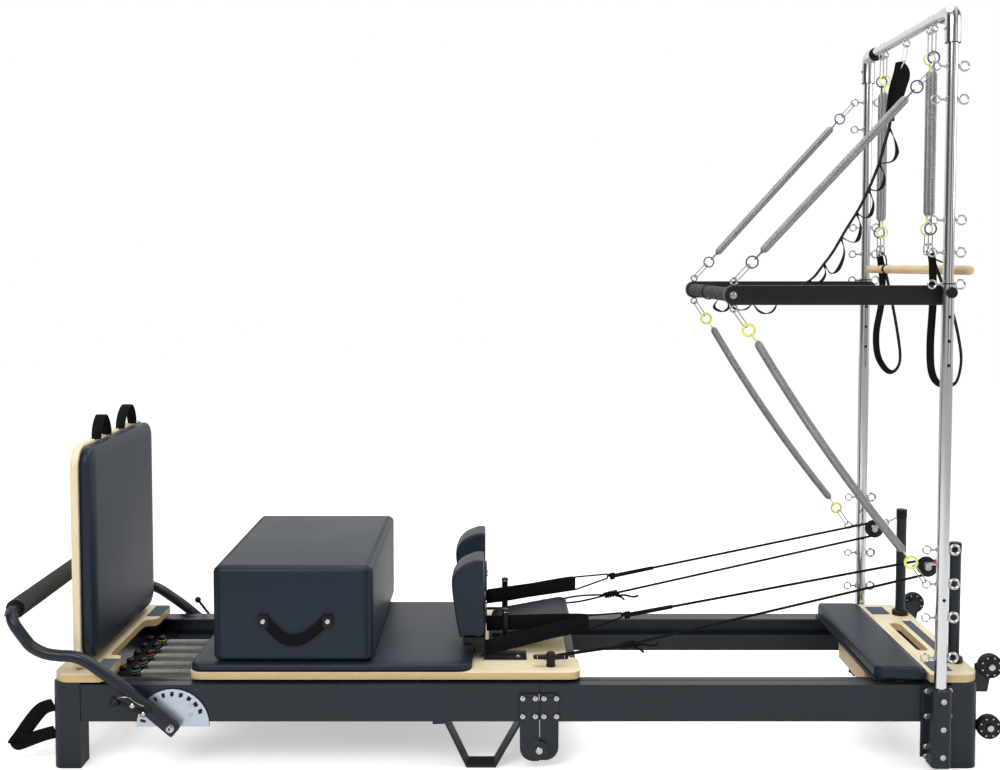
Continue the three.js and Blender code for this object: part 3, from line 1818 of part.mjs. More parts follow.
piece("hand_strap_near", handStrap(-strapHangY, strapRoute(nearStrapShares)), webbing);
piece("hand_strap_far", handStrap(strapHangY, strapRoute(farStrapShares)), webbing);

// Safety strap: webbing from the middle eye down to the push-through bar
const safetyWidth = 26;
const safetyThickness = 4;
const safetyTopZ = hangEyeZ - hangEyeRadius - hangEyeWire - seatGap;
const safetyEndX = endBarX + endBarRadius + seatGap + safetyThickness / 2;
const safetyShares = [
  [0, 0],
  [0.041, 0.103],
  [0.069, 0.186],
  [0.092, 0.348],
  [0.105, 0.471],
  [0.131, 0.574],
  [0.236, 0.738],
  [0.314, 0.84],
  [0.449, 0.923],
  [0.613, 1.013],
  [0.782, 1.05],
  [1, 1],
];
const safetyRoute = safetyShares.map(([back, down]) => [
  postX - back * (postX - safetyEndX),
  safetyTopZ - down * (safetyTopZ - armZ),
]);
piece(
  "safety_strap",
  alongY(bandOutline(smoothLine(safetyRoute, 24), safetyThickness), -safetyWidth / 2, safetyWidth / 2),
  webbing,
);

// Risers: posts in the head end sockets that carry the rope pulleys
const riserBaseLift = 13;
const riserLength = 448;
const riserBaseZ = railBottomZ + riserBaseLift;
const riserTopZ = riserBaseZ + riserLength;
const pulleyDrop = 64;
const pulleyReach = 82;
const pulleyOffsetY = 12;
const pulleyX = riserX - pulleyReach;
const pulleyY = riserY + pulleyOffsetY;
const pulleyZ = riserTopZ - pulleyDrop;
const sheaveRadius = 21;
const sheaveWidth = 12;
const grooveDepth = 5;
const cheekThickness = 3;
const cheekRadius = 30;
const sheaveAxle = 4;
const pulleyEyeDrop = 20;
const pulleyEyeZ = riserTopZ - pulleyEyeDrop;
const pulleyArmRadius = 3.5;
const cheekClearance = 2;
const cheekY = sheaveWidth / 2 + seatGap;
const strapArm = rod(
  vec(riserX, -riserY, pulleyEyeZ),
  vec(pulleyX + cheekRadius, -pulleyY, pulleyZ + cheekRadius / 2),
  pulleyArmRadius,
  8,
);
const cheekOutY = cheekY + cheekThickness;
pair(
  "rope_riser",
  join(
    rodZ(riserX, -riserY, riserBaseZ, riserTopZ, riserRadius, 10),
    cut(
      join(
        strapArm,
        rodY(pulleyX, -pulleyY - cheekOutY, -pulleyY + cheekOutY, pulleyZ, cheekRadius, 14),
      ),
      rodY(
        pulleyX,
        -pulleyY - cheekY,
        -pulleyY + cheekY,
        pulleyZ,
        cheekRadius + cheekClearance,
        14,
      ),
    ),
    rodY(pulleyX, -pulleyY - cheekOutY, -pulleyY + cheekOutY, pulleyZ, sheaveAxle, 8),
    block(
      pulleyX + cheekRadius - cheekThickness,
      pulleyX + cheekRadius + cheekThickness,
      -pulleyY - cheekOutY,
      -pulleyY + cheekOutY,
      pulleyZ - sheaveAxle,
      pulleyZ + cheekRadius / 2 + cheekThickness,
    ),
  ),
  slateSteel,
);
const sheaveProfile = [
  [sheaveAxle + axleGap, -sheaveWidth / 2],
  [sheaveRadius, -sheaveWidth / 2],
  [sheaveRadius - grooveDepth, 0],
  [sheaveRadius, sheaveWidth / 2],
  [sheaveAxle + axleGap, sheaveWidth / 2],
  [sheaveAxle + axleGap, -sheaveWidth / 2],
];
const sheave = new THREE.LatheGeometry(sheaveProfile.map(([r, h]) => flatVec(r, h)), 16);
pair("rope_sheave", sheave.translate(pulleyX, -pulleyY, pulleyZ), blackRubber);

// Ropes: from each cleat round the sheave and back to a webbing strap on the shoulder rest peg
const ropeRadius = 3;
const ropeLift = 2.5;
const ropeTurn = sheaveRadius - grooveDepth + ropeRadius + ropeLift;
const strapSlack = 5;
const strapHalfWidth = ropePegRadius + strapSlack;
const strapBandThickness = 3;
const strapBandHeight = 40;
const strapStandoff = 16;
const strapBandLength = 268;
const strapStartX = restBackX + strapStandoff;
const strapEndX = strapStartX + strapBandLength;
const strapBandRise = 47;
const strapBaseZ = pegPlateZ + strapBandRise;
const strapTilt = (8 * Math.PI) / 180;
const strapLoop = new THREE.Shape();
const strapInner = strapHalfWidth - strapBandThickness;
const strapLength = strapEndX - strapStartX - strapHalfWidth;
strapLoop.absarc(0, 0, strapHalfWidth, -Math.PI / 2, Math.PI / 2, false);
strapLoop.absarc(-strapLength, 0, strapHalfWidth, Math.PI / 2, 1.5 * Math.PI, false);
const strapHole = new THREE.Path();
strapHole.absarc(0, 0, strapInner, -Math.PI / 2, Math.PI / 2, false);
strapHole.absarc(-strapLength, 0, strapInner, Math.PI / 2, 1.5 * Math.PI, false);
strapLoop.holes.push(strapHole);
const ropeStrap = alongZ(strapLoop, -strapBandHeight / 2, strapBandHeight / 2, 3);
ropeStrap.rotateY(-strapTilt).translate(strapEndX, -ropePegY, strapBaseZ + strapBandHeight / 2);
const knotReach = 123;
const lowKnotInset = 15;
const lowKnotRise = 56;
const highKnotReach = 132;
const highKnotOut = 10;
const highKnotRise = 129;
const knotX = carriageEndX + knotReach;
const lowKnotY = railInnerY - lowKnotInset;
const lowKnotZ = carriageTopZ + lowKnotRise;
const highKnotX = carriageEndX + highKnotReach;
const highKnotY = ropePegY + highKnotOut;
const highKnotZ = carriageTopZ + highKnotRise;
const lowSlope = Math.atan2(pulleyZ - ropeTurn - lowKnotZ, pulleyX - knotX);
const highSlope = Math.atan2(pulleyZ + ropeTurn - highKnotZ, pulleyX - highKnotX);
const turnSteps = 9;
const turnPoint = (share) => {
  const start = lowSlope - Math.PI / 2;
  const angle = start + share * (Math.PI / 2 + highSlope - start);
  const out = vec(Math.cos(angle), 0, Math.sin(angle)).multiplyScalar(ropeTurn);
  return out.add(vec(pulleyX, -pulleyY, pulleyZ));
};
const cleatRopeOffset = 16;
const cleatEnd = vec(
  cleatX + cleatRopeOffset,
  -cleatY,
  cleatBarZ + cleatBarRadius + ropeRadius + seatGap,
);
const lowKnot = vec(knotX, -lowKnotY, lowKnotZ);
const highKnot = vec(highKnotX, -highKnotY, highKnotZ);
const strapEnd = vec(
  strapEndX + strapHalfWidth - strapBandThickness,
  -ropePegY,
  strapBaseZ + strapBandHeight / 2,
);
const ropeRoute = [
  ...spread(cleatEnd, lowKnot, 3),
  ...spread(lowKnot, turnPoint(0), 8),
  ...[...Array(turnSteps).keys()].map((i) => turnPoint(i / (turnSteps - 1))),
  ...spread(turnPoint(1), highKnot, 8).slice(1),
  ...spread(highKnot, strapEnd, 2),
  strapEnd,
];
const nearRope = join(ropeStrap, tube(ropeRoute, ropeRadius, 6));
piece("rope_near", nearRope, webbing);
piece("rope_far", mirrored(nearRope), webbing);

console.log("least gap between curls " + leastCoilGap.toFixed(2) + " mm");

export default tower;
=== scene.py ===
import math

import bpy
from mathutils import Matrix, Vector


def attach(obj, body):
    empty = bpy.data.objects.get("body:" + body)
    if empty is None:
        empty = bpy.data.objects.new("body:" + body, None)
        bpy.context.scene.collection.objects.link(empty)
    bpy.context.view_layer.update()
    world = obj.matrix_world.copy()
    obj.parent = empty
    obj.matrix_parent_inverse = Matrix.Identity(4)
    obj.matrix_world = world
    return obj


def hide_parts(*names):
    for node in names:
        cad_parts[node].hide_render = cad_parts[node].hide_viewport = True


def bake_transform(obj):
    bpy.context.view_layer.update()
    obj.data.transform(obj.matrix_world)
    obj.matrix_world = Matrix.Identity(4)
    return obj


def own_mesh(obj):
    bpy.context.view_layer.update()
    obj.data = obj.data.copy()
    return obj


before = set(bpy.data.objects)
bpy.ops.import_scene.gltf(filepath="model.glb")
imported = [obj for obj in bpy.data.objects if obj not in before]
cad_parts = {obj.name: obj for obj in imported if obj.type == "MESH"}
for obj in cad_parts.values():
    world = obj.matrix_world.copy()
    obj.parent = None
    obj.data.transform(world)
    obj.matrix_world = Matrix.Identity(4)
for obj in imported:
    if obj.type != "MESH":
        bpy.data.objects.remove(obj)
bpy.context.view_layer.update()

# Camera: it stands in front of the near long side at chest height, level with the middle of the
# bed, and looks slightly down, as the photograph does.
camera_data = bpy.data.cameras.new("camera")
camera_data.sensor_width = 36
camera_data.lens = 43.09
camera_data.shift_y = -0.0606
camera = bpy.data.objects.new("camera", camera_data)
camera.location = (-0.010, -3.476, 1.359)
camera.rotation_euler = (math.radians(87.0), 0, 0)
bpy.context.scene.collection.objects.link(camera)
bpy.context.scene.camera = camera
bpy.context.scene.view_settings.view_transform = "Standard"

# Pulley ropes: black braided cord, 7 mm thick. Each starts at a cleat on the carriage, runs
# under and over a sheave on the riser, and comes back to a webbing strap on the shoulder rest.
def lone():
    if bpy.context.mode != "OBJECT":
        bpy.ops.object.mode_set(mode="OBJECT")
    bpy.ops.object.select_all(action="DESELECT")


def take(piece):
    lone()
    piece.select_set(True)
    bpy.context.view_layer.objects.active = piece
    return piece


def seated(piece, name):
    take(piece)
    piece.name = name
    piece.data.name = name
    bpy.ops.object.transform_apply(location=True, rotation=True, scale=True)
    return piece


def worked(piece, kind, **settings):
    take(piece)
    tool = piece.modifiers.new(kind.lower(), kind)
    for key, value in settings.items():
        setattr(tool, key, value)
    bpy.ops.object.modifier_apply(modifier=tool.name)
    return piece


def rounded(piece, width, segments, degrees=60):
    return worked(piece, "BEVEL", width=width, segments=segments, limit_method="ANGLE",
                  angle_limit=math.radians(degrees))


def placed(piece, name, body, finish, stands_for=(), angle=35):
    if isinstance(piece, list):
        parts, piece = piece, take(piece[0])
        for part in parts:
            part.select_set(True)
        bpy.ops.object.join()
    piece.name = name
    piece.data.name = name
    piece.data.materials.clear()
    piece.data.materials.append(finish)
    take(piece)
    bpy.ops.object.shade_smooth_by_angle(angle=math.radians(angle))
    if body is not None:
        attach(piece, body)
    if stands_for:
        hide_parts(*stands_for)
    return piece


def laid(name, points, radius, sides=12, closed=False, radii=None):
    line = bpy.data.curves.new(name, "CURVE")
    line.dimensions = "3D"
    line.bevel_depth = radius
    line.bevel_resolution = max(0, sides // 2 - 2)
    line.use_fill_caps = not closed
    run = line.splines.new("POLY")
    run.points.add(len(points) - 1)
    for k, (place, point) in enumerate(zip(run.points, points)):
        place.co = (*point, 1)
        place.radius = radii[k] if radii else 1
    run.use_cyclic_u = closed
    piece = bpy.data.objects.new(name, line)
    bpy.context.scene.collection.objects.link(piece)
    take(piece)
    bpy.ops.object.convert(target="MESH")
    piece = bpy.context.view_layer.objects.active
    worked(piece, "WELD", merge_threshold=1e-6)
    return piece


def eased(points, count, closed=False):
    run = [Vector(p) for p in points]
    last = len(run) - 1
    spans = last + 1 if closed else last
    found = []
    for k in range(spans):
        a = run[(k - 1) % (last + 1)] if closed else run[max(k - 1, 0)]
        b = run[k % (last + 1)]
        c = run[(k + 1) % (last + 1)]
        d = run[(k + 2) % (last + 1)] if closed else run[min(k + 2, last)]
        for step in range(count):
            t = step / count
            found.append(
                (2 * b + (c - a) * t + (2 * a - 5 * b + 4 * c - d) * t * t
                 + (3 * b - a - 3 * c + d) * t ** 3) / 2
            )
    if not closed:
        found.append(run[-1])
    return found


def length_of(points):
    return sum((Vector(b) - Vector(a)).length for a, b in zip(points, points[1:]))


def fed(tree, node, feeds):
    for socket, value in feeds.items():
        if isinstance(value, bpy.types.NodeSocket):
            tree.links.new(value, node.inputs[socket])
        else:
            node.inputs[socket].default_value = value
    return node


def grown(tree, kind, feeds=None, **settings):
    node = tree.nodes.new("ShaderNode" + kind)
    for key, value in settings.items():
        setattr(node, key, value)
    return fed(tree, node, feeds or {})


def ramped(tree, source, stops):
    node = grown(tree, "ValToRGB", {"Fac": source})
    elements = node.color_ramp.elements
    while len(elements) < len(stops):
        elements.new(0.5)
    for element, (at, colour) in zip(elements, stops):
        element.position = at
        element.color = (*colour, 1)
    return node.outputs["Color"]


def coated(name, colour, rough, metal=0.0, mottle=0.12, patch=7.0, grain=700.0, depth=0.00012,
           worn=0.06, shine=0.5):
    made = bpy.data.materials.new(name)
    made.use_nodes = True
    tree = made.node_tree
    place = grown(tree, "TexCoord").outputs["Object"]
    cloud = grown(tree, "TexNoise", {"Vector": place, "Scale": patch, "Detail": 5}).outputs["Fac"]
    skin = grown(tree, "TexNoise", {"Vector": place, "Scale": grain, "Detail": 2})
    tint = ramped(tree, cloud, ((0.3, [c * (1 - mottle) for c in colour]),
                                (0.7, [min(1, c * (1 + mottle)) for c in colour])))
    wear = grown(tree, "MapRange", {"Value": cloud, "To Min": max(0.02, rough - worn),
                                    "To Max": min(1, rough + worn)})
    relief = grown(tree, "Bump", {"Height": skin.outputs["Fac"], "Distance": depth,
                                  "Strength": 0.6})
    fed(tree, tree.nodes["Principled BSDF"],
        {"Metallic": metal, "Specular IOR Level": shine, "Base Color": tint,
         "Roughness": wear.outputs["Result"], "Normal": relief.outputs["Normal"]})
    return made


def woven(name, colour, across, rough=0.85, depth=0.0006):
    made = coated(name, colour, rough, mottle=0.25, patch=30, worn=0.05, shine=0.12)
    tree = made.node_tree
    place = tree.nodes["Texture Coordinate"].outputs["Object"]
    ribs = [grown(tree, "TexWave", {"Vector": place, "Scale": 110, "Distortion": 0.6, "Detail": 1},
                  bands_direction=way).outputs["Fac"] for way in across]
    both = grown(tree, "Math", {0: ribs[0], 1: ribs[1]}, operation="MULTIPLY")
    fed(tree, tree.nodes["Bump"], {"Distance": depth, "Strength": 0.8, "Height": both.outputs[0]})
    return made


rope_black = woven("rope_black", (0.0055, 0.0055, 0.006), ("X", "Z"), 0.8, 0.0008)
strap_black = woven("strap_black", (0.0045, 0.0048, 0.0058), ("X", "Z"), 0.85)
rope_radius = 0.0035
sheave_x, sheave_y, sheave_z = 1.161, 0.233, 0.524
sheave_centre = Vector((sheave_x, -sheave_y, sheave_z))
sheave_turn = 0.0205
low_knot = Vector((0.331, -0.250, 0.310))
high_knots = {"near": Vector((0.345, -0.172, 0.371)), "far": Vector((0.336, -0.172, 0.390))}
cleat_end = Vector((0.147, -0.253, 0.2835))
strap_tips = {"near": Vector((0.236, -0.167, 0.348)), "far": Vector((0.220, -0.167, 0.3685))}
high_x, high_z = 0.340, 0.380
low_slope = math.atan2(sheave_z - sheave_turn - low_knot.z, sheave_x - low_knot.x)
high_slope = math.atan2(sheave_z + sheave_turn - high_z, sheave_x - high_x)


def round_sheave(share):
    start = low_slope - math.pi / 2
    angle = start + share * (math.pi / 2 + high_slope - start)
    out = Vector((math.cos(angle), 0, math.sin(angle)))
    return sheave_centre + sheave_turn * out


def straight(a, b, count):
    return [Vector(a).lerp(Vector(b), k / count) for k in range(count + 1)]


def wound_knot(centre, along, turns, wide, long):
    along = along.normalized()
    side = along.cross(Vector((0, 0, 1))).normalized()
    up = side.cross(along)
    count = int(turns * 14)
    points = []
    for k in range(count + 1):
        angle = 2 * math.pi * turns * k / count
        bulge = wide * (0.85 + 0.15 * math.sin(math.pi * k / count))
        points.append(
            centre + along * long * (k / count - 0.5)
            + side * bulge * math.cos(angle) + up * bulge * math.sin(angle)
        )
    return points


def mirror_points(points):
    return [Vector((p.x, -p.y, p.z)) for p in points]


for side in ("near", "far"):
    kept = (lambda run: run) if side == "near" else mirror_points
    high_knot, strap_tip = high_knots[side], strap_tips[side]
    low_line = kept(straight(low_knot, round_sheave(0), 40))
    low_run = laid("rope_low_" + side, low_line, rope_radius, 12)
    placed(low_run, "rope_low_" + side, "head_frame", rope_black, ["rope_" + side], 60)
    turn_line = kept([round_sheave(k / 24) for k in range(25)])
    turn_run = placed(laid("turn", turn_line, rope_radius, 12), "rope_turn_" + side,
                      "head_frame", rope_black, angle=60)
    high_line = kept(straight(high_knot, round_sheave(1), 40))
    high_run = laid("rope_high_" + side, high_line, rope_radius, 12)
    placed(high_run, "rope_high_" + side, "head_frame", rope_black, angle=60)
    sleeve_line = kept(straight(high_knot, high_knot.lerp(round_sheave(1), 0.155), 14))
    sleeve = laid("sleeve", sleeve_line, 0.0064, 12, radii=[1 - 0.12 * k / 14 for k in range(15)])
    placed(sleeve, "rope_sleeve_" + side, "head_frame", rope_black, angle=60)
    along = round_sheave(0) - low_knot
    barrel = laid("barrel", kept(wound_knot(low_knot + along.normalized() * 0.010, along, 6,
                                            0.0078, 0.046)), 0.0034, 10)
    tails = [laid("tail", kept(eased([low_knot + Vector(at) for at in path], 8)), 0.0032, 10)
             for path in (((0.026, 0.004, -0.003), (0.050, 0.008, 0.001), (0.078, 0.010, -0.004),
                           (0.094, 0.012, 0.001)),
                          ((0.024, -0.002, -0.004), (0.040, -0.004, -0.008),
                           (0.052, -0.005, -0.018)))]
    low_tie = placed([barrel, *tails], "rope_low_knot_" + side, "carriage",
                     rope_black, angle=60)
    turn_about = round_sheave(1) - high_knot
    ball = laid("ball", kept(wound_knot(high_knot, turn_about, 2.5, 0.0068, 0.016)), 0.0044, 12)
    corners = [strap_tip + Vector((0, 0, 0.020)), high_knot + Vector((-0.014, 0, 0.0065)),
               high_knot + Vector((-0.014, 0, -0.0065)), strap_tip + Vector((0, 0, -0.020))]
    bridle = [laid("strand", kept(straight(a, b, 10)), 0.0026, 12)
              for a, b in zip(corners, corners[1:] + corners[:1])]
    high_tie = placed([ball, *bridle], "rope_high_knot_" + side, "carriage",
                      rope_black, angle=60)
    for run, knot in ((low_run, low_knot), (high_run, high_knot), (sleeve, high_knot)):
        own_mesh(run)
    if side == "near":
        leads = [(straight(cleat_end, low_knot, 16), 0.0046)]
    else:
        leads = [(eased([cleat_end + Vector((0, 0, 0.004 * lift)),
                         cleat_end.lerp(low_knot, 0.5) + Vector((0, 0, 0.009 * lift)),
                         low_knot], 8), 0.003) for lift in (-1, 1)]
    for k, (line, wide) in enumerate(leads):
        line = kept(line)
        lead = laid("lead", line, wide, 12)
        placed(lead, f"rope_lead_{side}_{k + 1}", "carriage", rope_black, angle=60)

# Shoulder straps: a webbing band folded double round the rope's triangle. Its two runs pass the
# peg of the shoulder rest on both sides, and the outer run drops to the foot of the bracket.
def meshed(name, verts, faces):
    sheet = bpy.data.meshes.new(name)
    sheet.from_pydata(verts, [], faces)
    piece = bpy.data.objects.new(name, sheet)
    bpy.context.scene.collection.objects.link(piece)
    return piece


def ribbon(name, points, wide, thick, upright=None):
    run = [Vector(p) for p in points]
    verts, faces = [], []
    for k, point in enumerate(run):
        across = Vector(upright[k]) if isinstance(upright, list) else Vector(upright or (0, 0, 1))
        across = across.normalized() * wide / 2
        verts += [point - across, point, point + across]
    for k in range(len(run) - 1):
        a = 3 * k
        faces += [(a, a + 3, a + 4, a + 1), (a + 1, a + 4, a + 5, a + 2)]
    piece = meshed(name, verts, faces)
    worked(piece, "SOLIDIFY", thickness=thick, offset=0)
    return rounded(piece, thick * 0.35, 2)


strap_paths = {
    "near": ((-0.060, 0.194, 0.284), (0.02, 0.190, 0.302), (0.13, 0.183, 0.328),
             (0.215, 0.175, 0.344), (0.234, 0.167, 0.348), (0.215, 0.158, 0.350),
             (0.10, 0.154, 0.347), (-0.048, 0.150, 0.341)),
    "far": ((-0.060, 0.194, 0.318), (0.02, 0.190, 0.330), (0.13, 0.183, 0.352),
            (0.200, 0.175, 0.366), (0.218, 0.167, 0.3685), (0.200, 0.158, 0.368),
            (0.10, 0.154, 0.354), (-0.048, 0.150, 0.334)),
}
both_sides = (("near", -1), ("far", 1))
for side, hand in both_sides:
    points = eased([(x, hand * y, z) for x, y, z in strap_paths[side]], 6)
    band = ribbon("strap", points, 0.043, 0.0026)
    placed(band, "rope_strap_" + side, "shoulder_rest_" + side, strap_black)

# Foot half of the frame: two box rails with a ledge inside for the carriage wheels, and bent flat
# feet under the fold. Welded steel, slate powder coat, closed by an end frame on round legs.
def dressed(names, finish, edge=0.0012):
    for name in names:
        node = bpy.data.objects[name]
        take(node)
        bpy.ops.mesh.customdata_custom_splitnormals_clear()
        for poly in node.data.polygons:
            poly.use_smooth = True
        weld = node.modifiers.new("weld", "WELD")
        weld.merge_threshold = 1e-5
        round_edge = node.modifiers.new("edge", "BEVEL")
        round_edge.width = edge
        round_edge.segments = 2
        round_edge.limit_method = "ANGLE"
        round_edge.angle_limit = math.radians(50)
        round_edge.harden_normals = False
        even = node.modifiers.new("even", "WEIGHTED_NORMAL")
        even.keep_sharp = True
        node.data.materials.clear()
        node.data.materials.append(finish)


def cube(name, size, centre=(0, 0, 0)):
    lone()
    bpy.ops.mesh.primitive_cube_add(size=1, location=centre)
    piece = bpy.context.object
    piece.scale = size
    return seated(piece, name)


def block(name, low, high, edge=0.001):
    low, high = Vector(low), Vector(high)
    piece = cube(name, high - low, (low + high) / 2)
    if edge:
        rounded(piece, edge, 2, 40)
    return piece


def turned(name, profile, place, axis="Z", sides=32):
    lone()
    bpy.ops.mesh.primitive_circle_add(vertices=sides, radius=profile[0][0], fill_type="NGON")
    piece = bpy.context.object
    bpy.ops.object.mode_set(mode="EDIT")
    bpy.ops.mesh.select_all(action="SELECT")
    radius, height = profile[0]
    for wide, high in profile[1:]:
        bpy.ops.mesh.extrude_region_move(TRANSFORM_OT_translate={"value": (0, 0, high - height)})
        share = wide / radius
        bpy.ops.transform.resize(value=(share, share, 1), center_override=(0, 0, high))
        radius, height = wide, high
    bpy.ops.mesh.select_all(action="SELECT")
    bpy.ops.mesh.normals_make_consistent(inside=False)
    bpy.ops.object.mode_set(mode="OBJECT")
    piece.data.transform(Matrix.Translation((0, 0, profile[0][1])))
    turn = Vector((0, 0, 1)).rotation_difference(
        Vector({"X": (1, 0, 0), "Y": (0, 1, 0), "Z": (0, 0, 1)}[axis]) if isinstance(axis, str)
        else Vector(axis))
    piece.data.transform(turn.to_matrix().to_4x4())
    piece.data.transform(Matrix.Translation(place))
    piece.name = name
    return piece


def both_ways(profile):
    return profile + [(wide, -high) for wide, high in reversed(profile)]


def hoop(name, centre, facing, radius, wire, around=32, sides=10):
    lone()
    turn = Vector((0, 0, 1)).rotation_difference(Vector(facing)).to_euler()
    bpy.ops.mesh.primitive_torus_add(major_radius=radius, minor_radius=wire, location=centre,
                                     rotation=turn, major_segments=around, minor_segments=sides)
    return seated(bpy.context.object, name)


def arc(centre, radius, degrees):
    return [(centre[0] + radius * math.cos(math.radians(a)), centre[1],
             centre[2] + radius * math.sin(math.radians(a))) for a in degrees]


def bolt(name, place, axis, wide=0.006, tall=0.004, washer=0.0085):
    return turned(name, [(washer, 0), (washer, 0.0012), (wide, 0.0013), (wide, tall - 0.001),
                         (wide * 0.8, tall), (wide * 0.45, tall), (wide * 0.4, tall * 0.5)],
                  place, axis, 20)


slate = coated("slate_paint", (0.0105, 0.0155, 0.0235), 0.32, mottle=0.07, patch=5, grain=1400,
               depth=0.00004, shine=0.32)
bright_steel = coated("bright_steel", (0.50, 0.50, 0.51), 0.22, metal=1.0, mottle=0.05, patch=40,
                      grain=900, depth=0.00001)
black_paint = coated("black_paint", (0.0055, 0.0057, 0.0068), 0.36, mottle=0.12, patch=9,
                     grain=1200, depth=0.00004, shine=0.26)
dressed(["foot_rail_near", "foot_rail_far", "foot_end_frame", "head_rail_near", "head_rail_far",
         "tower_socket_near", "tower_socket_far", "head_end_frame"], slate)
hinge_x, hinge_z, plate_y = 0.095, 0.050, 0.331
for side, hand in both_sides:
    for half, body, across in (("foot", "foot_frame", (0.0508, 0.0846)),
                               ("head", "head_frame", (0.1076, 0.1413))):
        heads, rings = [], []
        for x in across:
            for z in (0.1924, 0.1435):
                heads.append(turned("head", [(0.0068, 0.0008), (0.0070, 0.0026), (0.0058, 0.0034),
                                             (0.0024, 0.0036)],
                                    (x, hand * plate_y, z), (0, hand, 0), 24))
                rings.append(turned("ring", [(0.0096, 0), (0.0096, 0.0010), (0.0088, 0.0014)],
                                    (x, hand * plate_y, z), (0, hand, 0), 24))
                rings.append(turned("dot", [(0.0017, 0.0030), (0.0015, 0.0040)],
                                    (x, hand * plate_y, z), (0, hand, 0), 12))
        placed(heads, f"{half}_hinge_bolts_{side}", body, bright_steel)
        placed(rings, f"{half}_hinge_rings_{side}", body, black_paint)
    pin = [turned("pin", [(0.0094, 0), (0.0094, 0.004), (0.0080, 0.0052), (0.003, 0.0055)],
                  (hinge_x, hand * plate_y, hinge_z), (0, hand, 0), 32)]
    for low_z, high_z, middle in ((0.187, 0.205, 0.0945), (0.088, 0.134, 0.0962)):
        pin.append(block("sliver", (middle - 0.0007, hand * 0.3316 - 0.0006, low_z),
                         (middle + 0.0007, hand * 0.3316 + 0.0006, high_z), 0))
    placed(pin, "hinge_pin_" + side, "foot_frame", bright_steel)
    face = hand * 0.3314
    seams = [block("split", (0.0949, face - 0.0005, 0.134),
                   (0.0969, face + 0.0005, 0.2262), 0),
             block("leaf", (0.0402, face - 0.0005, 0.1195),
                   (0.0410, face + 0.0005, 0.196), 0)]
    for x0, x1 in ((0.0602, 0.0752), (0.117, 0.132)):
        seams.append(block("leaf", (x0, face - 0.0005, 0.1935), (x1, face + 0.0005, 0.1947), 0))
    seams.append(laid("arc", arc((hinge_x, face, hinge_z), 0.0352, range(88, 168, 8)), 0.0007, 6))
    placed(seams, "hinge_seams_" + side, "foot_frame", black_paint)

# Rail lips: the top of each rail turns inward as a thin flange that covers the wheels' track. It
# is folded from the same steel and coated with the rail.
for half, x0, x1 in (("foot", -1.1345, 0.0942), ("head", 0.0958, 1.1975)):
    lips = [block("lip", (x0, hand * 0.2785 - 0.0165, 0.2232), (x1, hand * 0.2785 + 0.0165, 0.2269),
                  0.0012) for hand in (-1, 1)]
    placed(lips, half + "_rail_lips", half + "_frame", slate)

# End boards: 22 mm beech boards, clear lacquered, screwed down on the round legs of both ends. The
# grain runs across the bed, the head board has a hand slot and both carry grey grip strips.
def blended(tree, share, a, b, kind="MULTIPLY"):
    node = grown(tree, "Mix", data_type="RGBA", blend_type=kind)
    return fed(tree, node, {"Factor": share, "A": a, "B": b}).outputs["Result"]


def timber(name, light, dark, along=(1.0, 9.0, 1.0), shade_sides_below=None):
    made = coated(name, light, 0.42, mottle=0.05, patch=4, grain=260, depth=0.00006, shine=0.45)
    tree = made.node_tree
    place = tree.nodes["Texture Coordinate"].outputs["Object"]
    stretch = grown(tree, "Mapping", {"Vector": place, "Scale": along}).outputs["Vector"]
    streak = grown(tree, "TexNoise", {"Vector": stretch, "Scale": 6, "Detail": 8,
                                      "Roughness": 0.65, "Distortion": 0.3})
    fleck = grown(tree, "TexNoise", {"Vector": stretch, "Scale": 70, "Detail": 3})
    grain = ramped(tree, streak.outputs["Fac"], ((0.34, dark), (0.66, light)))
    speck = ramped(tree, fleck.outputs["Fac"], ((0.30, (0.80, 0.72, 0.60)), (0.46, (1, 1, 1))))
    wood = blended(tree, 0.55, grain, speck)
    # Below the given height (sides, bevels and underside) the wood is tinted darker and more tan
    # than the top: painted shade on the sides.
    if shade_sides_below:
        high = grown(tree, "SeparateXYZ", {0: place}).outputs["Z"]
        level = grown(tree, "Math", {0: high, 1: shade_sides_below}, operation="GREATER_THAN")
        side_shade = blended(tree, level.outputs[0], (0.80, 0.68, 0.50, 1), (1, 1, 1, 1), "MIX")
        wood = blended(tree, 1, wood, side_shade)
    fed(tree, tree.nodes["Principled BSDF"], {"Base Color": wood})
    return made


# End boards: painted shade on the sides, below the top face.
board_beech = timber("board_beech", (0.80, 0.71, 0.50), (0.71, 0.60, 0.385), (9.0, 1.0, 9.0),
                     shade_sides_below=0.2545)
dressed(["foot_end_board", "head_end_board"], board_beech, 0.0025)

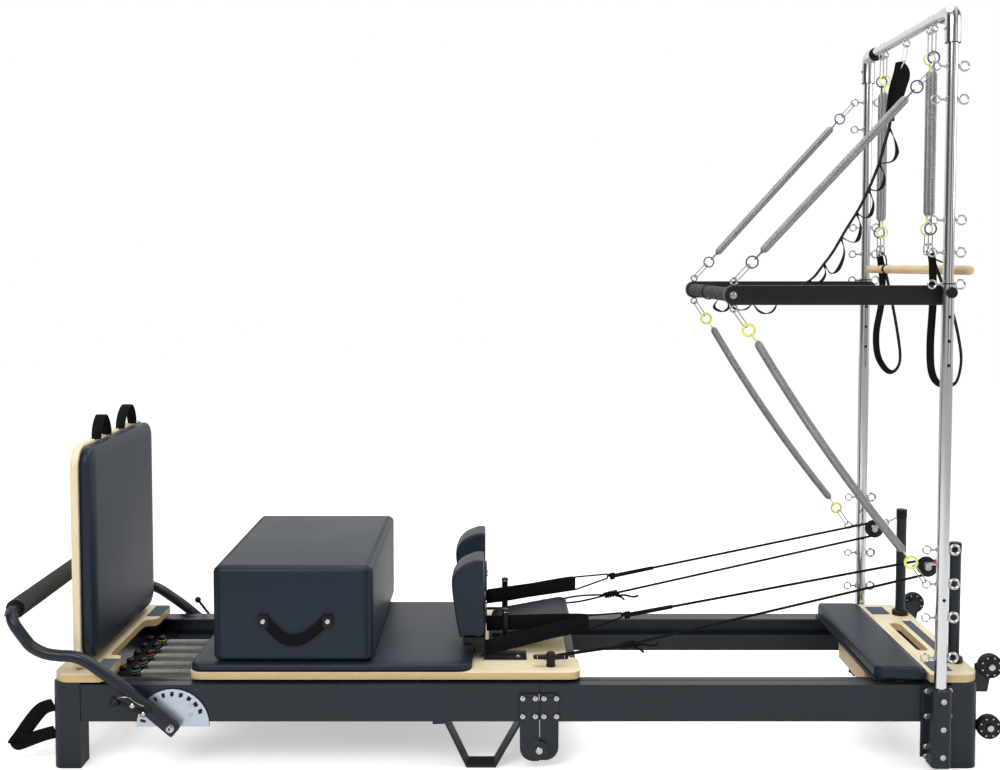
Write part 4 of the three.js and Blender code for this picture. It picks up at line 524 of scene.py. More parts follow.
# Quadrants: zinc plated steel half discs bolted to the rails outside, each with ten slots where
# the footbar's latch drops in. The rims are blackened.
plate_metal = coated("plate_metal", (0.50, 0.55, 0.63), 0.34, metal=0.75, mottle=0.06, patch=12,
                     grain=500, depth=0.00002)
dressed(["quadrant_near", "quadrant_far"], plate_metal, 0.0006)
bar_x, bar_z = -0.886, 0.120
screw_zinc = coated("screw_zinc", (0.50, 0.49, 0.38), 0.4, metal=0.7, mottle=0.1, patch=90)
for side, hand in both_sides:
    rim = laid("rim", arc((bar_x, hand * 0.3278, bar_z), 0.0962, range(0, 181, 6)), 0.0016, 8)
    slots = []
    for degrees in (178, 162, 144, 126, 108, 90, 72, 54, 36, 20):
        angle = math.radians(degrees)
        slot = block("slot", (-0.0068, -0.0035, -0.0046), (0.0068, 0.0035, 0.0046), 0)
        rounded(slot, 0.0026, 3, 30)
        slot.data.transform(Matrix.Translation((bar_x + 0.078 * math.cos(angle), hand * 0.3272,
                                                0.127 + 0.078 * math.sin(angle)))
                            @ Matrix.Rotation(-angle, 4, "Y"))
        slots.append(slot)
    placed([rim, *slots], "quadrant_rim_" + side, "foot_frame", black_paint)
    screws = [turned("screw", [(0.0058, 0), (0.0060, 0.0006), (0.0052, 0.0014), (0.0016, 0.0016)],
                     (x, hand * 0.3304, z), (0, hand, 0), 20)
              for x, z in ((-0.837, 0.1745), (-0.837, 0.148), (-0.930, 0.150))]
    placed(screws, "quadrant_screws_" + side, "foot_frame", screw_zinc)

# Footbar: one bent steel tube, 31 mm, slate coated, on flat arm boxes that pivot on the rails, with
# a sprung latch on each arm and a foam sleeve on the cross bar.
route = ((0, 0), (0.065, 0.086), (0.156, 0.197), (0.249, 0.306), (0.34, 0.414), (0.431, 0.507),
         (0.524, 0.595), (0.604, 0.635), (0.678, 0.641), (0.769, 0.661), (0.848, 0.717),
         (0.923, 0.806), (0.981, 0.918))
arm_points = [Vector((bar_x - a * 0.430, -0.350, bar_z + b * 0.304)) for a, b in route]
last = Vector((-1.290, -0.350, 0.388))
rise = Vector((-0.59, 0, 0.807)).normalized()
arm_points[-2:] = [Vector((-1.2680, -0.350, 0.3570))]
turn_points = [last + 0.044 * math.sin(math.radians(a)) * rise
               + Vector((0, 0.044 * (1 - math.cos(math.radians(a))), 0)) for a in range(0, 91, 15)]
turn_points.append(Vector((-1.316, -0.285, 0.4235)))
half_run = arm_points + turn_points
whole_run = half_run + [Vector((p.x, -p.y, p.z)) for p in reversed(half_run)]
bar = laid("footbar", eased(whole_run, 5), 0.0156, 24)
arm_slope = math.atan2(0.306 * 0.304, 0.249 * 0.430)
arms = []
for hand in (-1, 1):
    arm = cube("arm", (0.120, 0.024, 0.036))
    arm.location = (bar_x - 0.042 * math.cos(arm_slope), hand * 0.350,
                    bar_z + 0.042 * math.sin(arm_slope))
    arm.rotation_euler = (0, arm_slope, 0)
    seated(arm, "arm")
    rounded(arm, 0.006, 4, 30)
    boss = turned("boss", [(0.015, 0), (0.016, 0.001), (0.016, 0.014)],
                  (bar_x, hand * 0.338 - hand * 0.0075, bar_z), (0, hand, 0))
    arms += [arm, boss]
placed([bar, *arms], "footbar_tube", "footbar", slate, ["footbar"])


def knob(centre, radius, around, rings):
    lone()
    bpy.ops.mesh.primitive_uv_sphere_add(segments=around, ring_count=rings, radius=radius,
                                         location=centre)
    return seated(bpy.context.object, "knob")


latches, pins = [], []
for hand in (-1, 1):
    pins.append(bolt("bolt", (bar_x, hand * 0.362, 0.122), (0, hand, 0), 0.0088, 0.006, 0.0112))
    pins.append(turned("bolt", [(0.0062, 0), (0.0066, 0.002), (0.0045, 0.0036)],
                       (-0.983, hand * 0.3672, 0.186), (0, hand, 0), 20))
    pins.append(turned("bolt", [(0.0058, 0), (0.0062, 0.002), (0.0042, 0.0036)],
                       (-0.954, hand * 0.3682, 0.164), (0, hand, 0), 20))
    latches.append(turned("ring", [(0.0088, 0), (0.0088, 0.0015)],
                          (-0.954, hand * 0.3668, 0.164), (0, hand, 0), 24))
    lever = block("lever", (-0.043, -0.0016, -0.0062), (0.043, 0.0016, 0.0062), 0.0012)
    lever.data.transform(Matrix.Translation((-0.990, hand * 0.3655, 0.181))
                         @ Matrix.Rotation(math.radians(24), 4, "Y"))
    latches.append(lever)
    catch = eased([(-0.962, hand * 0.3665, 0.172), (-0.948, hand * 0.370, 0.184),
                   (-0.936, hand * 0.370, 0.178), (-0.938, hand * 0.3665, 0.166)], 5)
    latches.append(laid("catch", catch, 0.0032, 10))
    wire = eased([(-1.020, hand * 0.374, 0.2085), (-1.004, hand * 0.374, 0.2115),
                  (-0.988, hand * 0.372, 0.2085), (-0.974, hand * 0.370, 0.196),
                  (-0.948, hand * 0.370, 0.184)], 6)
    pins.append(laid("wire", wire, 0.0008, 6))
    latches.append(turned("stem", [(0.0050, 0), (0.0050, 0.012)], (-1.0275, hand * 0.3655, 0.197),
                          (0, hand, 0), 20))
    latches.append(knob((-1.0275, hand * 0.3755, 0.195), 0.0128, 28, 16))
    latches.append(turned("neck", [(0.0062, 0), (0.0070, 0.004), (0.0060, 0.009), (0.002, 0.0105)],
                          (-1.0300, hand * 0.3755, 0.2045), (0, 0, 1), 20))
pull = eased([(-0.938, 0.350, 0.168), (-0.9480, 0.3505, 0.208), (-0.966, 0.352, 0.234),
              (-0.988, 0.354, 0.262)], 5)
latches.append(laid("pull", pull, 0.0040, 12))
latches.append(knob((-0.9895, 0.354, 0.264), 0.0098, 24, 14))
placed(latches, "footbar_latches", "footbar", black_paint)
placed(pins, "footbar_pins", "footbar", bright_steel)
foam = coated("grip_foam", (0.048, 0.050, 0.050), 0.92, mottle=0.3, patch=260, grain=900,
              depth=0.0006, shine=0.2)
sleeve = turned("grip", [(0.017, -0.289), (0.0250, -0.289), (0.0261, -0.287), (0.0262, 0.0),
                         (0.0261, 0.287), (0.0250, 0.289), (0.017, 0.289)],
                (-1.316, 0, 0.424), "Y", 40)
placed(sleeve, "footbar_foam", "footbar", foam, ["footbar_grip"])
collars = [turned("collar", [(0.0172, 0), (0.0257, 0), (0.0262, 0.001), (0.0262, 0.006),
                             (0.0257, 0.007), (0.0172, 0.007)],
                  (-1.316, hand * 0.289, 0.424), (0, hand, 0), 40) for hand in (-1, 1)]
placed(collars, "footbar_collars", "footbar", black_paint)

# Spring bar: a bent black steel bar between the foot rails. Each of its five studs has a round
# cap and the coloured washer that tells the spring's strength.
dressed(["spring_bar"], black_paint, 0.0008)
springs_at = [(i - 2) * 0.067 for i in range(5)]
spring_tints = (("green", (0.10, 0.22, 0.11)), ("rose", (0.30, 0.10, 0.10)),
                ("red", (0.38, 0.03, 0.03)), ("dark", (0.02, 0.02, 0.022)),
                ("yellow", (0.52, 0.40, 0.05)))
for (tint, colour), y in zip(spring_tints, springs_at):
    paint = coated("washer_" + tint, colour, 0.35, mottle=0.08, patch=30)
    washer = turned("washer", [(0.0045, 0), (0.0130, 0), (0.0136, 0.0006), (0.0136, 0.0022),
                               (0.0130, 0.0028), (0.0045, 0.0028)], (-1.045, y, 0.2012), "Z", 28)
    placed(washer, "stud_washer_" + tint, "foot_frame", paint)
caps = [turned("cap", [(0.0108, 0), (0.0118, 0.001), (0.0122, 0.004), (0.0118, 0.0075),
                       (0.0095, 0.0100), (0.005, 0.0112), (0.001, 0.0115)],
               (-1.045, y, 0.2040), "Z", 28) for y in springs_at]
placed(caps, "stud_caps", "foot_frame", black_paint)
lows = [turned("low", [(0.009, 0), (0.0105, 0.002), (0.0105, 0.009), (0.006, 0.012)],
               (-1.080, y, 0.202), "Z", 20) for y in springs_at]
placed(lows, "lip_studs", "foot_frame", black_paint)

# Carriage springs: five close-wound zinc springs, 23 mm across, hooked on the studs at the foot
# end and bolted to the carriage's front cross bar. They stretch as the carriage runs out.
spring_zinc = coated("spring_zinc", (0.36, 0.36, 0.345), 0.42, metal=0.9, mottle=0.08, patch=20,
                     grain=900, depth=0.00002)


def wound(name, a, b, coil, wire, bow=(0, 0, 0), steps=14, sides=6):
    a, b, bow = Vector(a), Vector(b), Vector(bow)
    along = b - a
    long = along.length
    along.normalize()
    side = along.cross(Vector((0, 1, 0)) if abs(along.y) < 0.9 else Vector((1, 0, 0))).normalized()
    up = along.cross(side)
    lead = coil * 0.7
    turns = int((long - 2 * lead) / (2.08 * wire))
    points = [a, a + along * lead * 0.35]
    count = turns * steps
    for k in range(count + 1):
        share = k / count
        angle = 2 * math.pi * k / steps
        near_end = min(k, count - k) / (steps * 4)
        swell = coil * (1 if near_end > 1 else 0.35 + 0.65 * math.sin(near_end * math.pi / 2))
        at = lead + (long - 2 * lead) * share
        place = a + along * at + side * swell * math.cos(angle) + up * swell * math.sin(angle)
        points.append(place + bow * 4 * share * (1 - share))
    points += [b - along * lead * 0.35, b]
    return laid(name, points, wire, sides)


for i, y in enumerate(springs_at):
    coil = wound("coil", (-1.0375, y, 0.193), (-0.5715, y, 0.193), 0.0102, 0.0013)
    eye = hoop("eye", (-1.045, y, 0.193), (0, 0, 1), 0.0066, 0.0016, 24, 8)
    spring = placed([coil, eye], f"carriage_spring_wire_{i + 1}", None,
                    spring_zinc, [f"carriage_spring_{i + 1}"])
    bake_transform(spring)

# Carriage: a 20 mm beech board on a black welded underframe that runs on four wheels. Two rope
# cleats stand at its tower end, each a turned stem with a cross bar.
# Carriage board: painted shade on the sides, below the top face.
mix_beech = timber("carriage_beech", (0.80, 0.72, 0.52), (0.72, 0.62, 0.41), (1.0, 9.0, 9.0),
                   shade_sides_below=0.2525)
tree = mix_beech.node_tree
board_low, board_top = 0.2341, 0.2544
high = grown(tree, "SeparateXYZ", {0: tree.nodes["Texture Coordinate"].outputs["Object"]})
above = grown(tree, "Math", {0: high.outputs["Z"], 1: board_low}, operation="GREATER_THAN")
below = grown(tree, "Math", {0: high.outputs["Z"], 1: board_top}, operation="LESS_THAN")
in_board = grown(tree, "Math", {0: above.outputs[0], 1: below.outputs[0]}, operation="MULTIPLY")
shader = tree.nodes["Principled BSDF"]
wood = shader.inputs["Base Color"].links[0].from_socket
board_tint = blended(tree, in_board.outputs[0], (0.006, 0.006, 0.007, 1), wood, "MIX")
fed(tree, shader, {"Base Color": board_tint})
dressed(["carriage_board"], mix_beech, 0.0018)
tyre = coated("wheel_rubber", (0.007, 0.007, 0.008), 0.5, mottle=0.15, patch=40, grain=600,
              depth=0.00008, shine=0.3)
dressed([f"carriage_wheel_{end}_{side}" for end in ("front", "rear") for side in ("near", "far")],
        tyre, 0.0015)
cleat_x, cleat_y = 0.129, 0.253
for side, hand in both_sides:
    stem = turned("stem", [(0.013, 0), (0.013, 0.003), (0.0115, 0.006), (0.0125, 0.016),
                           (0.0135, 0.026), (0.0125, 0.034), (0.0095, 0.038), (0.004, 0.0395)],
                  (cleat_x, hand * cleat_y, 0.2542), "Z", 28)
    cross = turned("cross", both_ways([(0.004, -0.048), (0.0066, -0.045), (0.0068, -0.030),
                                       (0.0082, -0.012)]),
                   (cleat_x, hand * cleat_y, 0.279), "X", 20)
    placed([stem, cross], "cleat_" + side, "carriage", black_paint)
    tips = [hoop("clip", (cleat_x + end * 0.0375, hand * cleat_y, 0.2785), (1, 0, 0), 0.0086,
                 0.0009, 24, 6) for end in (-1, 1)]
    placed(tips, "cleat_tips_" + side, "carriage", bright_steel)
# The black block under the board's tower end is partly a cross bar and partly painted shadow,
# filling the dark gap between board and rails.
trim = [laid("trim", [(0.179, y, 0.2545) for y in (-0.160, -0.08, 0, 0.08, 0.160)], 0.0016, 8),
        block("shadow_bearer", (0.150, -0.286, 0.2288), (0.2045, 0.286, 0.2339), 0.0008)]
placed(trim, "board_trim_and_shadow_block", "carriage", black_paint)

# Carriage cushion: a firm foam pad on thin plywood, covered in dark grey-blue vinyl with a fine
# grain. It is upholstered tight, so its rim is round and its top has a low crown.
def hide(name, colour, rough):
    made = coated(name, colour, rough, mottle=0.10, patch=3.5, worn=0.05, shine=0.24)
    tree = made.node_tree
    place = tree.nodes["Texture Coordinate"].outputs["Object"]
    pebble = grown(tree, "TexVoronoi", {"Vector": place, "Scale": 420}, feature="F1")
    ripple = grown(tree, "TexNoise", {"Vector": place, "Scale": 9, "Detail": 3})
    mixed = grown(tree, "Math", {0: pebble.outputs["Distance"], 1: 0.35,
                                 2: ripple.outputs["Fac"]}, operation="MULTIPLY_ADD")
    fed(tree, tree.nodes["Bump"], {"Height": mixed.outputs[0], "Distance": 0.0012,
                                   "Strength": 0.45})
    return made


def edges_rounded(piece, chosen, offset, segments):
    bpy.ops.object.mode_set(mode="EDIT")
    bpy.ops.mesh.select_mode(type="EDGE")
    bpy.ops.mesh.select_all(action="DESELECT")
    bpy.ops.object.mode_set(mode="OBJECT")
    for run in piece.data.edges:
        run.select = chosen(*(piece.data.vertices[v].co for v in run.vertices))
    bpy.ops.object.mode_set(mode="EDIT")
    bpy.ops.mesh.bevel(offset=offset, segments=segments)
    bpy.ops.mesh.select_all(action="DESELECT")
    bpy.ops.object.mode_set(mode="OBJECT")


def upholstered(name, low, high, corner, edge, crown=0.004, draw=0.002, face="Z", rows=10):
    low, high = Vector(low), Vector(high)
    size = high - low
    order = {"Z": (0, 1, 2), "X": (1, 2, 0)}[face]
    wide, deep, thick = (size[k] for k in order)
    pad = cube(name, (wide, deep, thick - crown))
    edges_rounded(pad, lambda a, b: abs(a.x - b.x) + abs(a.y - b.y) < 1e-5, corner, 8)
    edges_rounded(pad, lambda a, b: abs(a.z - b.z) < 1e-6
                  and abs(abs(a.z) - (thick - crown) / 2) < 1e-6, edge, 5)
    bpy.ops.object.mode_set(mode="EDIT")
    bpy.ops.mesh.select_mode(type="FACE")
    bpy.ops.object.mode_set(mode="OBJECT")
    for poly in pad.data.polygons:
        poly.select = poly.normal.z > 0.999
    bpy.ops.object.mode_set(mode="EDIT")
    reach = min(corner - edge, min(wide, deep) / 2 - edge) * 0.9
    for k in range(rows):
        share = (k + 0.5) / rows
        bpy.ops.mesh.inset(thickness=reach / rows, depth=crown / rows * 1.55 * (1 - share) ** 0.9)
    bpy.ops.object.mode_set(mode="OBJECT")
    half_w, half_d = wide / 2, deep / 2
    for v in pad.data.vertices:
        side_x = 1 - min(1, abs(v.co.y) / half_d) ** 2
        side_y = 1 - min(1, abs(v.co.x) / half_w) ** 2
        bulge = 1 - min(1, abs(v.co.z) / (thick / 2)) ** 2
        v.co.x -= math.copysign(draw * side_x * (abs(v.co.x) / half_w) ** 8, v.co.x)
        v.co.y -= math.copysign(draw * side_y * (abs(v.co.y) / half_d) ** 8, v.co.y)
        v.co.x += math.copysign(draw * 0.5 * bulge * (abs(v.co.x) / half_w) ** 8, v.co.x)
        v.co.y += math.copysign(draw * 0.5 * bulge * (abs(v.co.y) / half_d) ** 8, v.co.y)
    if face == "X":
        pad.data.transform(Matrix(((0, 0, 1, 0), (1, 0, 0, 0), (0, 1, 0, 0), (0, 0, 0, 1))))
    middle = (low + high) / 2
    shift = -crown / 2
    pad.data.transform(Matrix.Translation(
        middle + (Vector((0, 0, shift)) if face == "Z" else Vector((shift, 0, 0)))))
    return pad


def rounded_loop(x0, x1, y0, y1, corner, count=8):
    found = []
    for k, (cx, cy) in enumerate(((x1 - corner, y1 - corner), (x0 + corner, y1 - corner),
                                  (x0 + corner, y0 + corner), (x1 - corner, y0 + corner))):
        for step in range(count + 1):
            angle = math.pi / 2 * (k + step / count)
            found.append((cx + corner * math.cos(angle), cy + corner * math.sin(angle)))
    return found


vinyl = hide("cushion_vinyl", (0.0110, 0.0180, 0.0300), 0.42)
seam = woven("seam_thread", (0.006, 0.009, 0.014), ("X", "Z"), 0.8, 0.0003)
pad = upholstered("pad", (-0.848, -0.303, 0.2543), (-0.088, 0.303, 0.2773), 0.036, 0.008, 0.003)
placed(pad, "carriage_pad", "carriage", vinyl, ["carriage_cushion"])
ply = timber("edge_ply", (0.62, 0.50, 0.31), (0.40, 0.28, 0.15), (4.0, 4.0, 240.0))
welt = laid("welt", [(x, y, 0.2569) for x, y in
                     rounded_loop(-0.8483, -0.0877, -0.3033, 0.3033, 0.036)], 0.0011, 8, True)
placed(welt, "carriage_pad_welt", "carriage", seam)

# Shoulder rests: upholstered blocks, hollowed where the shoulder sits, on bent black steel
# brackets that plug into the carriage board. A coated peg stands behind each for the strap.
rest_profile = ((0, 0.20), (0, 0.55), (0, 0.96), (0.05, 1), (0.25, 1), (0.5, 0.97), (0.72, 0.93),
                (0.9, 0.86), (1, 0.76), (0.98, 0.62), (0.92, 0.48), (0.86, 0.34), (0.79, 0.22),
                (0.74, 0.165), (0.5, 0.185))
soft_profile = eased([(-0.055 - a * 0.087, 0, 0.279 + b * 0.258) for a, b in rest_profile], 4, True)


def slab(name, outline, push):
    piece = take(meshed(name, outline, [list(range(len(outline)))]))
    bpy.ops.object.mode_set(mode="EDIT")
    bpy.ops.mesh.select_all(action="SELECT")
    bpy.ops.mesh.extrude_region_move(TRANSFORM_OT_translate={"value": push})
    bpy.ops.mesh.select_all(action="SELECT")
    bpy.ops.mesh.normals_make_consistent(inside=False)
    bpy.ops.object.mode_set(mode="OBJECT")
    return piece


rest = slab("rest", soft_profile, (0, 0.110, 0))
rest.data.transform(Matrix.Translation((0, -0.220, 0)))
rounded(rest, 0.011, 5)
worked(rest, "TRIANGULATE")
worked(rest, "REMESH", mode="VOXEL", voxel_size=0.004, use_smooth_shade=True)
worked(rest, "SMOOTH", factor=0.5, iterations=6)
for v in rest.data.vertices:
    if v.co.x < -0.06:
        out = 1 - ((v.co.y + 0.165) / 0.055) ** 2
        v.co.x -= 0.003 * max(0, out)
rest_far = rest.copy()
rest_far.data = rest.data.copy()
bpy.context.scene.collection.objects.link(rest_far)
rest_far.data.transform(Matrix.Scale(-1, 4, (0, 1, 0)))
rest_far.data.flip_normals()
rest_y, foot_y, bolt_y = 0.165, 0.1705, 0.190
for (side, hand), block_of in zip(both_sides, (rest, rest_far)):
    placed(block_of, "rest_pad_" + side, "shoulder_rest_" + side, vinyl,
           ["shoulder_rest_" + side], 60)
    flat = [block("plate", (-0.0555, hand * foot_y - 0.0345, 0.2543),
                  (-0.0505, hand * foot_y + 0.0345, 0.430), 0.0015),
            block("base", (-0.112, hand * rest_y - 0.048, 0.296),
                  (-0.0525, hand * rest_y + 0.048, 0.3215), 0.004),
            block("base", (-0.086, hand * rest_y - 0.040, 0.272),
                  (-0.0525, hand * rest_y + 0.040, 0.300), 0.004),
            block("foot", (-0.0540, hand * foot_y - 0.0345, 0.2543),
                  (0.064, hand * foot_y + 0.0345, 0.2593), 0.0015),
            block("peg_arm", (-0.0520, hand * rest_y - 0.008, 0.289),
                  (0.013, hand * rest_y + 0.008, 0.294), 0.001),
            turned("peg", [(0.0085, 0), (0.0092, 0.001), (0.0092, 0.088), (0.0102, 0.090),
                           (0.0102, 0.0955), (0.0085, 0.0975), (0.003, 0.098)],
                   (0.005, hand * rest_y, 0.289), "Z", 28),
            turned("pin", [(0.006, 0), (0.006, 0.020)], (0.040, hand * bolt_y, 0.2355), "Z", 20)]
    placed(flat, "rest_bracket_" + side, "shoulder_rest_" + side, black_paint)
    rim = [hoop("rim", (0.005, hand * rest_y, 0.3795), (0, 0, 1), 0.0101, 0.0008, 28, 6),
           bolt("nut", (0.040, hand * bolt_y, 0.2592), (0, 0, 1), 0.0065, 0.005, 0.0095),
           bolt("screw", (-0.0502, hand * 0.150, 0.400), (1, 0, 0), 0.0045, 0.003, 0.006),
           bolt("screw", (-0.0502, hand * bolt_y, 0.400), (1, 0, 0), 0.0045, 0.003, 0.006)]
    placed(rim, "rest_hardware_" + side, "shoulder_rest_" + side, bright_steel)

# Headrest: a small vinyl pad on a ply board. A steel barrel hinges it to the carriage, and a prop
# holds it a little raised.
head_pad = upholstered("pad", (-0.030, -0.128, 0.2625), (0.200, 0.128, 0.3025), 0.032, 0.012, 0.005)
head_board = block("board", (-0.024, -0.122, 0.2575), (0.192, 0.122, 0.2635), 0.001)
barrel_at = (-0.034, 0, 0.2633)
tilt = (Matrix.Translation(barrel_at) @ Matrix.Rotation(-math.radians(10.5), 4, "Y")
        @ Matrix.Translation((0.034, 0, -0.2575)))
for part in (head_pad, head_board):
    part.data.transform(tilt)
placed(head_pad, "headrest_pad", "headrest", vinyl, ["headrest"])
placed(head_board, "headrest_board", "headrest", ply)
barrel = turned("barrel", both_ways([(0.0075, -0.128), (0.0088, -0.126)]), barrel_at, "Y", 24)
placed(barrel, "headrest_barrel", "headrest", black_paint)

# Sitting box: a ply box under firm foam, 433 by 670 by 260 mm, covered in the same vinyl with a
# double row of stitches along its edges. A webbing handle is screwed to its near face.
box_low, box_high = Vector((-0.787, -0.290, 0.2779)), Vector((-0.354, 0.380, 0.5385))
box = upholstered("box", box_low, box_high, 0.022, 0.016, 0.0025, 0.003, rows=4)
placed(box, "box_cover", "sitting_box", vinyl, ["sitting_box"])
stitches = []
for inset in (0.014, 0.020):
    for x in (box_low.x + inset, box_high.x - inset):
        drop = 0.0008 if inset > 0.017 else 0.0016
        seam_line = [(x, -0.2902, 0.286), (x, -0.2911, 0.350), (x, -0.2911, 0.450)]
        for middle, first in ((-0.274, 180), (0.364, 90)):
            seam_line += [(x, middle + 0.0158 * math.cos(math.radians(first - a)),
                           0.5222 + (0.0163 - drop) * math.sin(math.radians(first - a)))
                          for a in range(0, 91, 15)]
        seam_line += [(x, 0.3811, 0.450), (x, 0.3811, 0.350), (x, 0.3802, 0.286)]
        stitches.append(laid("stitch", seam_line, 0.0006, 4))
placed(stitches, "box_stitches", "sitting_box", seam)
handle_run = eased([(-0.6600, -0.2945, 0.3920), (-0.6430, -0.2950, 0.3890),
                    (-0.6190, -0.2975, 0.3640), (-0.5960, -0.2990, 0.3440),
                    (-0.5650, -0.2995, 0.3370), (-0.5370, -0.2990, 0.3450),
                    (-0.5090, -0.2975, 0.3650), (-0.4830, -0.2950, 0.3900),
                    (-0.4640, -0.2945, 0.3920)], 5)


def headings(run):
    return [(after - before).normalized()
            for before, after in zip(run[:1] + run[:-1], run[1:] + run[-1:])]


across = [Vector((-way.z, 0, way.x)) for way in headings(handle_run)]
handle = ribbon("handle", handle_run, 0.027, 0.0024, across)
placed(handle, "box_handle", "sitting_box", strap_black)
tabs = [block("tab", (x - 0.0140, -0.2998, 0.3749), (x + 0.0140, -0.2925, 0.4077), 0.0012)
        for x in (-0.6491, -0.4750)]
placed(tabs, "box_tabs", "sitting_box", black_paint)
screws = [turned("screw", [(0.0064, 0), (0.0068, 0.0012), (0.0056, 0.0026), (0.0016, 0.003)],
                 (x, -0.2996, 0.3908), (0, -1, 0), 24) for x in (-0.6491, -0.4749)]
placed(screws, "box_screws", "sitting_box", bright_steel)

# Jumpboard: a padded beech panel that stands on two steel pegs in the foot end board and lifts out
# by two webbing loops at its top edge.
top_corners = rounded_loop(-0.300, 0.300, 0.2563, 0.865, 0.060)[:18]
foot_corners = rounded_loop(-0.300, 0.300, 0.2563, 0.865, 0.024)[18:]
panel = slab("panel", [(-1.1611, y, z) for y, z in top_corners + foot_corners], (0.020, 0, 0))
rounded(panel, 0.0025, 3)
panel_beech = timber("panel_beech", (0.80, 0.70, 0.49), (0.71, 0.59, 0.38), (9.0, 9.0, 1.0))
placed(panel, "jumpboard_board", "jumpboard", panel_beech, ["jumpboard_panel"])
pegs = [turned("peg", [(0.006, 0), (0.008, 0.003), (0.008, 0.062)], (-1.151, y, 0.196), "Z", 24)
        for y in (-0.2, 0.2)]
placed(pegs, "jumpboard_pegs", "jumpboard", bright_steel)
for k, path in enumerate((((-0.150, 0.862), (-0.147, 0.880), (-0.136, 0.905), (-0.116, 0.924),
                           (-0.096, 0.924), (-0.076, 0.905), (-0.064, 0.880), (-0.060, 0.862)),
                          ((0.060, 0.862), (0.066, 0.882), (0.084, 0.906), (0.110, 0.923),
                           (0.136, 0.926), (0.158, 0.909), (0.171, 0.882), (0.175, 0.862)))):
    run = eased([(-1.1385, y, z) for y, z in path], 4)
    spread = [Vector((math.cos(math.radians(52 * (1 - s) ** 2)),
                      math.sin(math.radians(52 * (1 - s) ** 2)), 0))
              for s in (1 - abs(2 * n / (len(run) - 1) - 1) for n in range(len(run)))]
    loop = ribbon("loop", run, 0.028, 0.0026, spread)
    placed(loop, f"jumpboard_loop_{k + 1}", "jumpboard", strap_black)
jump_pad = upholstered("pad", (-1.1407, -0.292, 0.278), (-1.1047, 0.292, 0.857), 0.050, 0.012,
                       0.006, 0.002, "X")
placed(jump_pad, "jumpboard_cover", "jumpboard", vinyl, ["jumpboard_pad"])
piping = laid("piping", [(-1.1375, y, z) for y, z in
                         rounded_loop(-0.2922, 0.2922, 0.2778, 0.8572, 0.050)], 0.0012, 8, True)
placed(piping, "jumpboard_welt", "jumpboard", seam)

# End strap: a webbing loop screwed to the near foot leg. It hangs outside the leg and lifts or
# drags the folded bed.
tail_run = eased([(-1.2150, -0.300, 0.1640), (-1.2480, -0.300, 0.1520), (-1.2800, -0.300, 0.1150),
                  (-1.3050, -0.300, 0.0790), (-1.3200, -0.298, 0.0600), (-1.3230, -0.295, 0.0540),
                  (-1.3170, -0.292, 0.0520), (-1.2900, -0.290, 0.0620), (-1.2520, -0.290, 0.0760),
                  (-1.2150, -0.290, 0.0860)], 6)
tilted = [(Vector((-way.z, 0, way.x)) * (0.92 if way.x < 0 else -0.92)
           + Vector((0, 0.39, 0))).normalized() for way in headings(tail_run)]
tail = ribbon("tail", tail_run, 0.041, 0.0035, tilted)
placed(tail, "end_strap_band", "foot_frame", strap_black, ["end_strap"])

# Head half: rails, sockets and end frame match the foot half. Socket screws hold the tower's
# channels to the rails, and black collars ring the riser sockets.
riser_x, riser_y = 1.243, 0.221
for side, hand in both_sides:
    heads = [bolt("screw", (x, hand * 0.3348, z), (0, hand, 0), 0.0058, 0.004, 0.0085)
             for x, z in ((1.131, 0.214), (1.190, 0.214), (1.131, 0.146), (1.190, 0.146),
                          (1.131, 0.064), (1.131, 0.037))]
    heads += [bolt("screw", (1.159, hand * 0.381, z), (0, hand, 0), 0.0052, 0.003, 0.0075)
              for z in (0.201, 0.126, 0.051)]
    placed(heads, "socket_screws_" + side, "head_frame", bright_steel)
    collar = turned("collar", [(0.0152, 0), (0.0235, 0), (0.0245, 0.001), (0.0245, 0.012),
                               (0.0225, 0.0145), (0.0195, 0.0155), (0.0152, 0.0155)],
                    (riser_x, hand * riser_y, 0.2566), "Z", 36)
    placed(collar, "riser_collar_" + side, "head_frame", black_paint)
inner = block("liner", (1.1765, -0.1285, 0.2345), (1.1775, 0.1285, 0.2545), 0)
inlay_brown = timber("slot_edge", (0.33, 0.20, 0.10), (0.22, 0.13, 0.06), (9.0, 1.0, 9.0))
placed(inner, "slot_liner", "head_frame", inlay_brown)
grip_tape = coated("grip_tape", (0.075, 0.095, 0.125), 0.9, mottle=0.2, patch=200, grain=1500,
                   depth=0.0004)
head_strips = [block("strip", (1.225, -0.150, 0.2560), (1.252, 0.150, 0.2568), 0.0003)]
foot_strips = []
for hand in (-1, 1):
    head_strips.append(block("strip", (1.1560, hand * 0.260 - 0.040, 0.2560),
                             (1.2120, hand * 0.260 + 0.040, 0.2568), 0.0003))
    foot_strips.append(block("strip", (-1.1120, hand * 0.255 - 0.055, 0.2560),
                             (-1.0680, hand * 0.255 + 0.055, 0.2568), 0.0003))
for half, strips in (("head", head_strips), ("foot", foot_strips)):
    placed(strips, half + "_grip_strips", half + "_frame", grip_tape)

# Platform pad: the standing platform next to the tower, a vinyl pad with round corners on thin
# black boards, with a beech cross panel that drops between the rails. The boards' black is
# also painted shadow, standing in for the dark gap under the pad.
bite = Vector((1.068, 0.242))
bite_radius = 0.078
platform = upholstered("pad", (0.990, -0.320, 0.2345), (1.140, 0.320, 0.2700), 0.026, 0.012, 0.004)
for v in platform.data.vertices:
    inward = Vector((bite.x - v.co.x, (bite.y - abs(v.co.y)) * math.copysign(1, v.co.y)))
    if v.co.x < bite.x and abs(v.co.y) > bite.y and inward.length > bite_radius:
        fit = inward * (1 - bite_radius / inward.length)
        v.co.x += fit.x
        v.co.y += fit.y
placed(platform, "platform_cover", "head_frame", vinyl, ["platform_pad"])
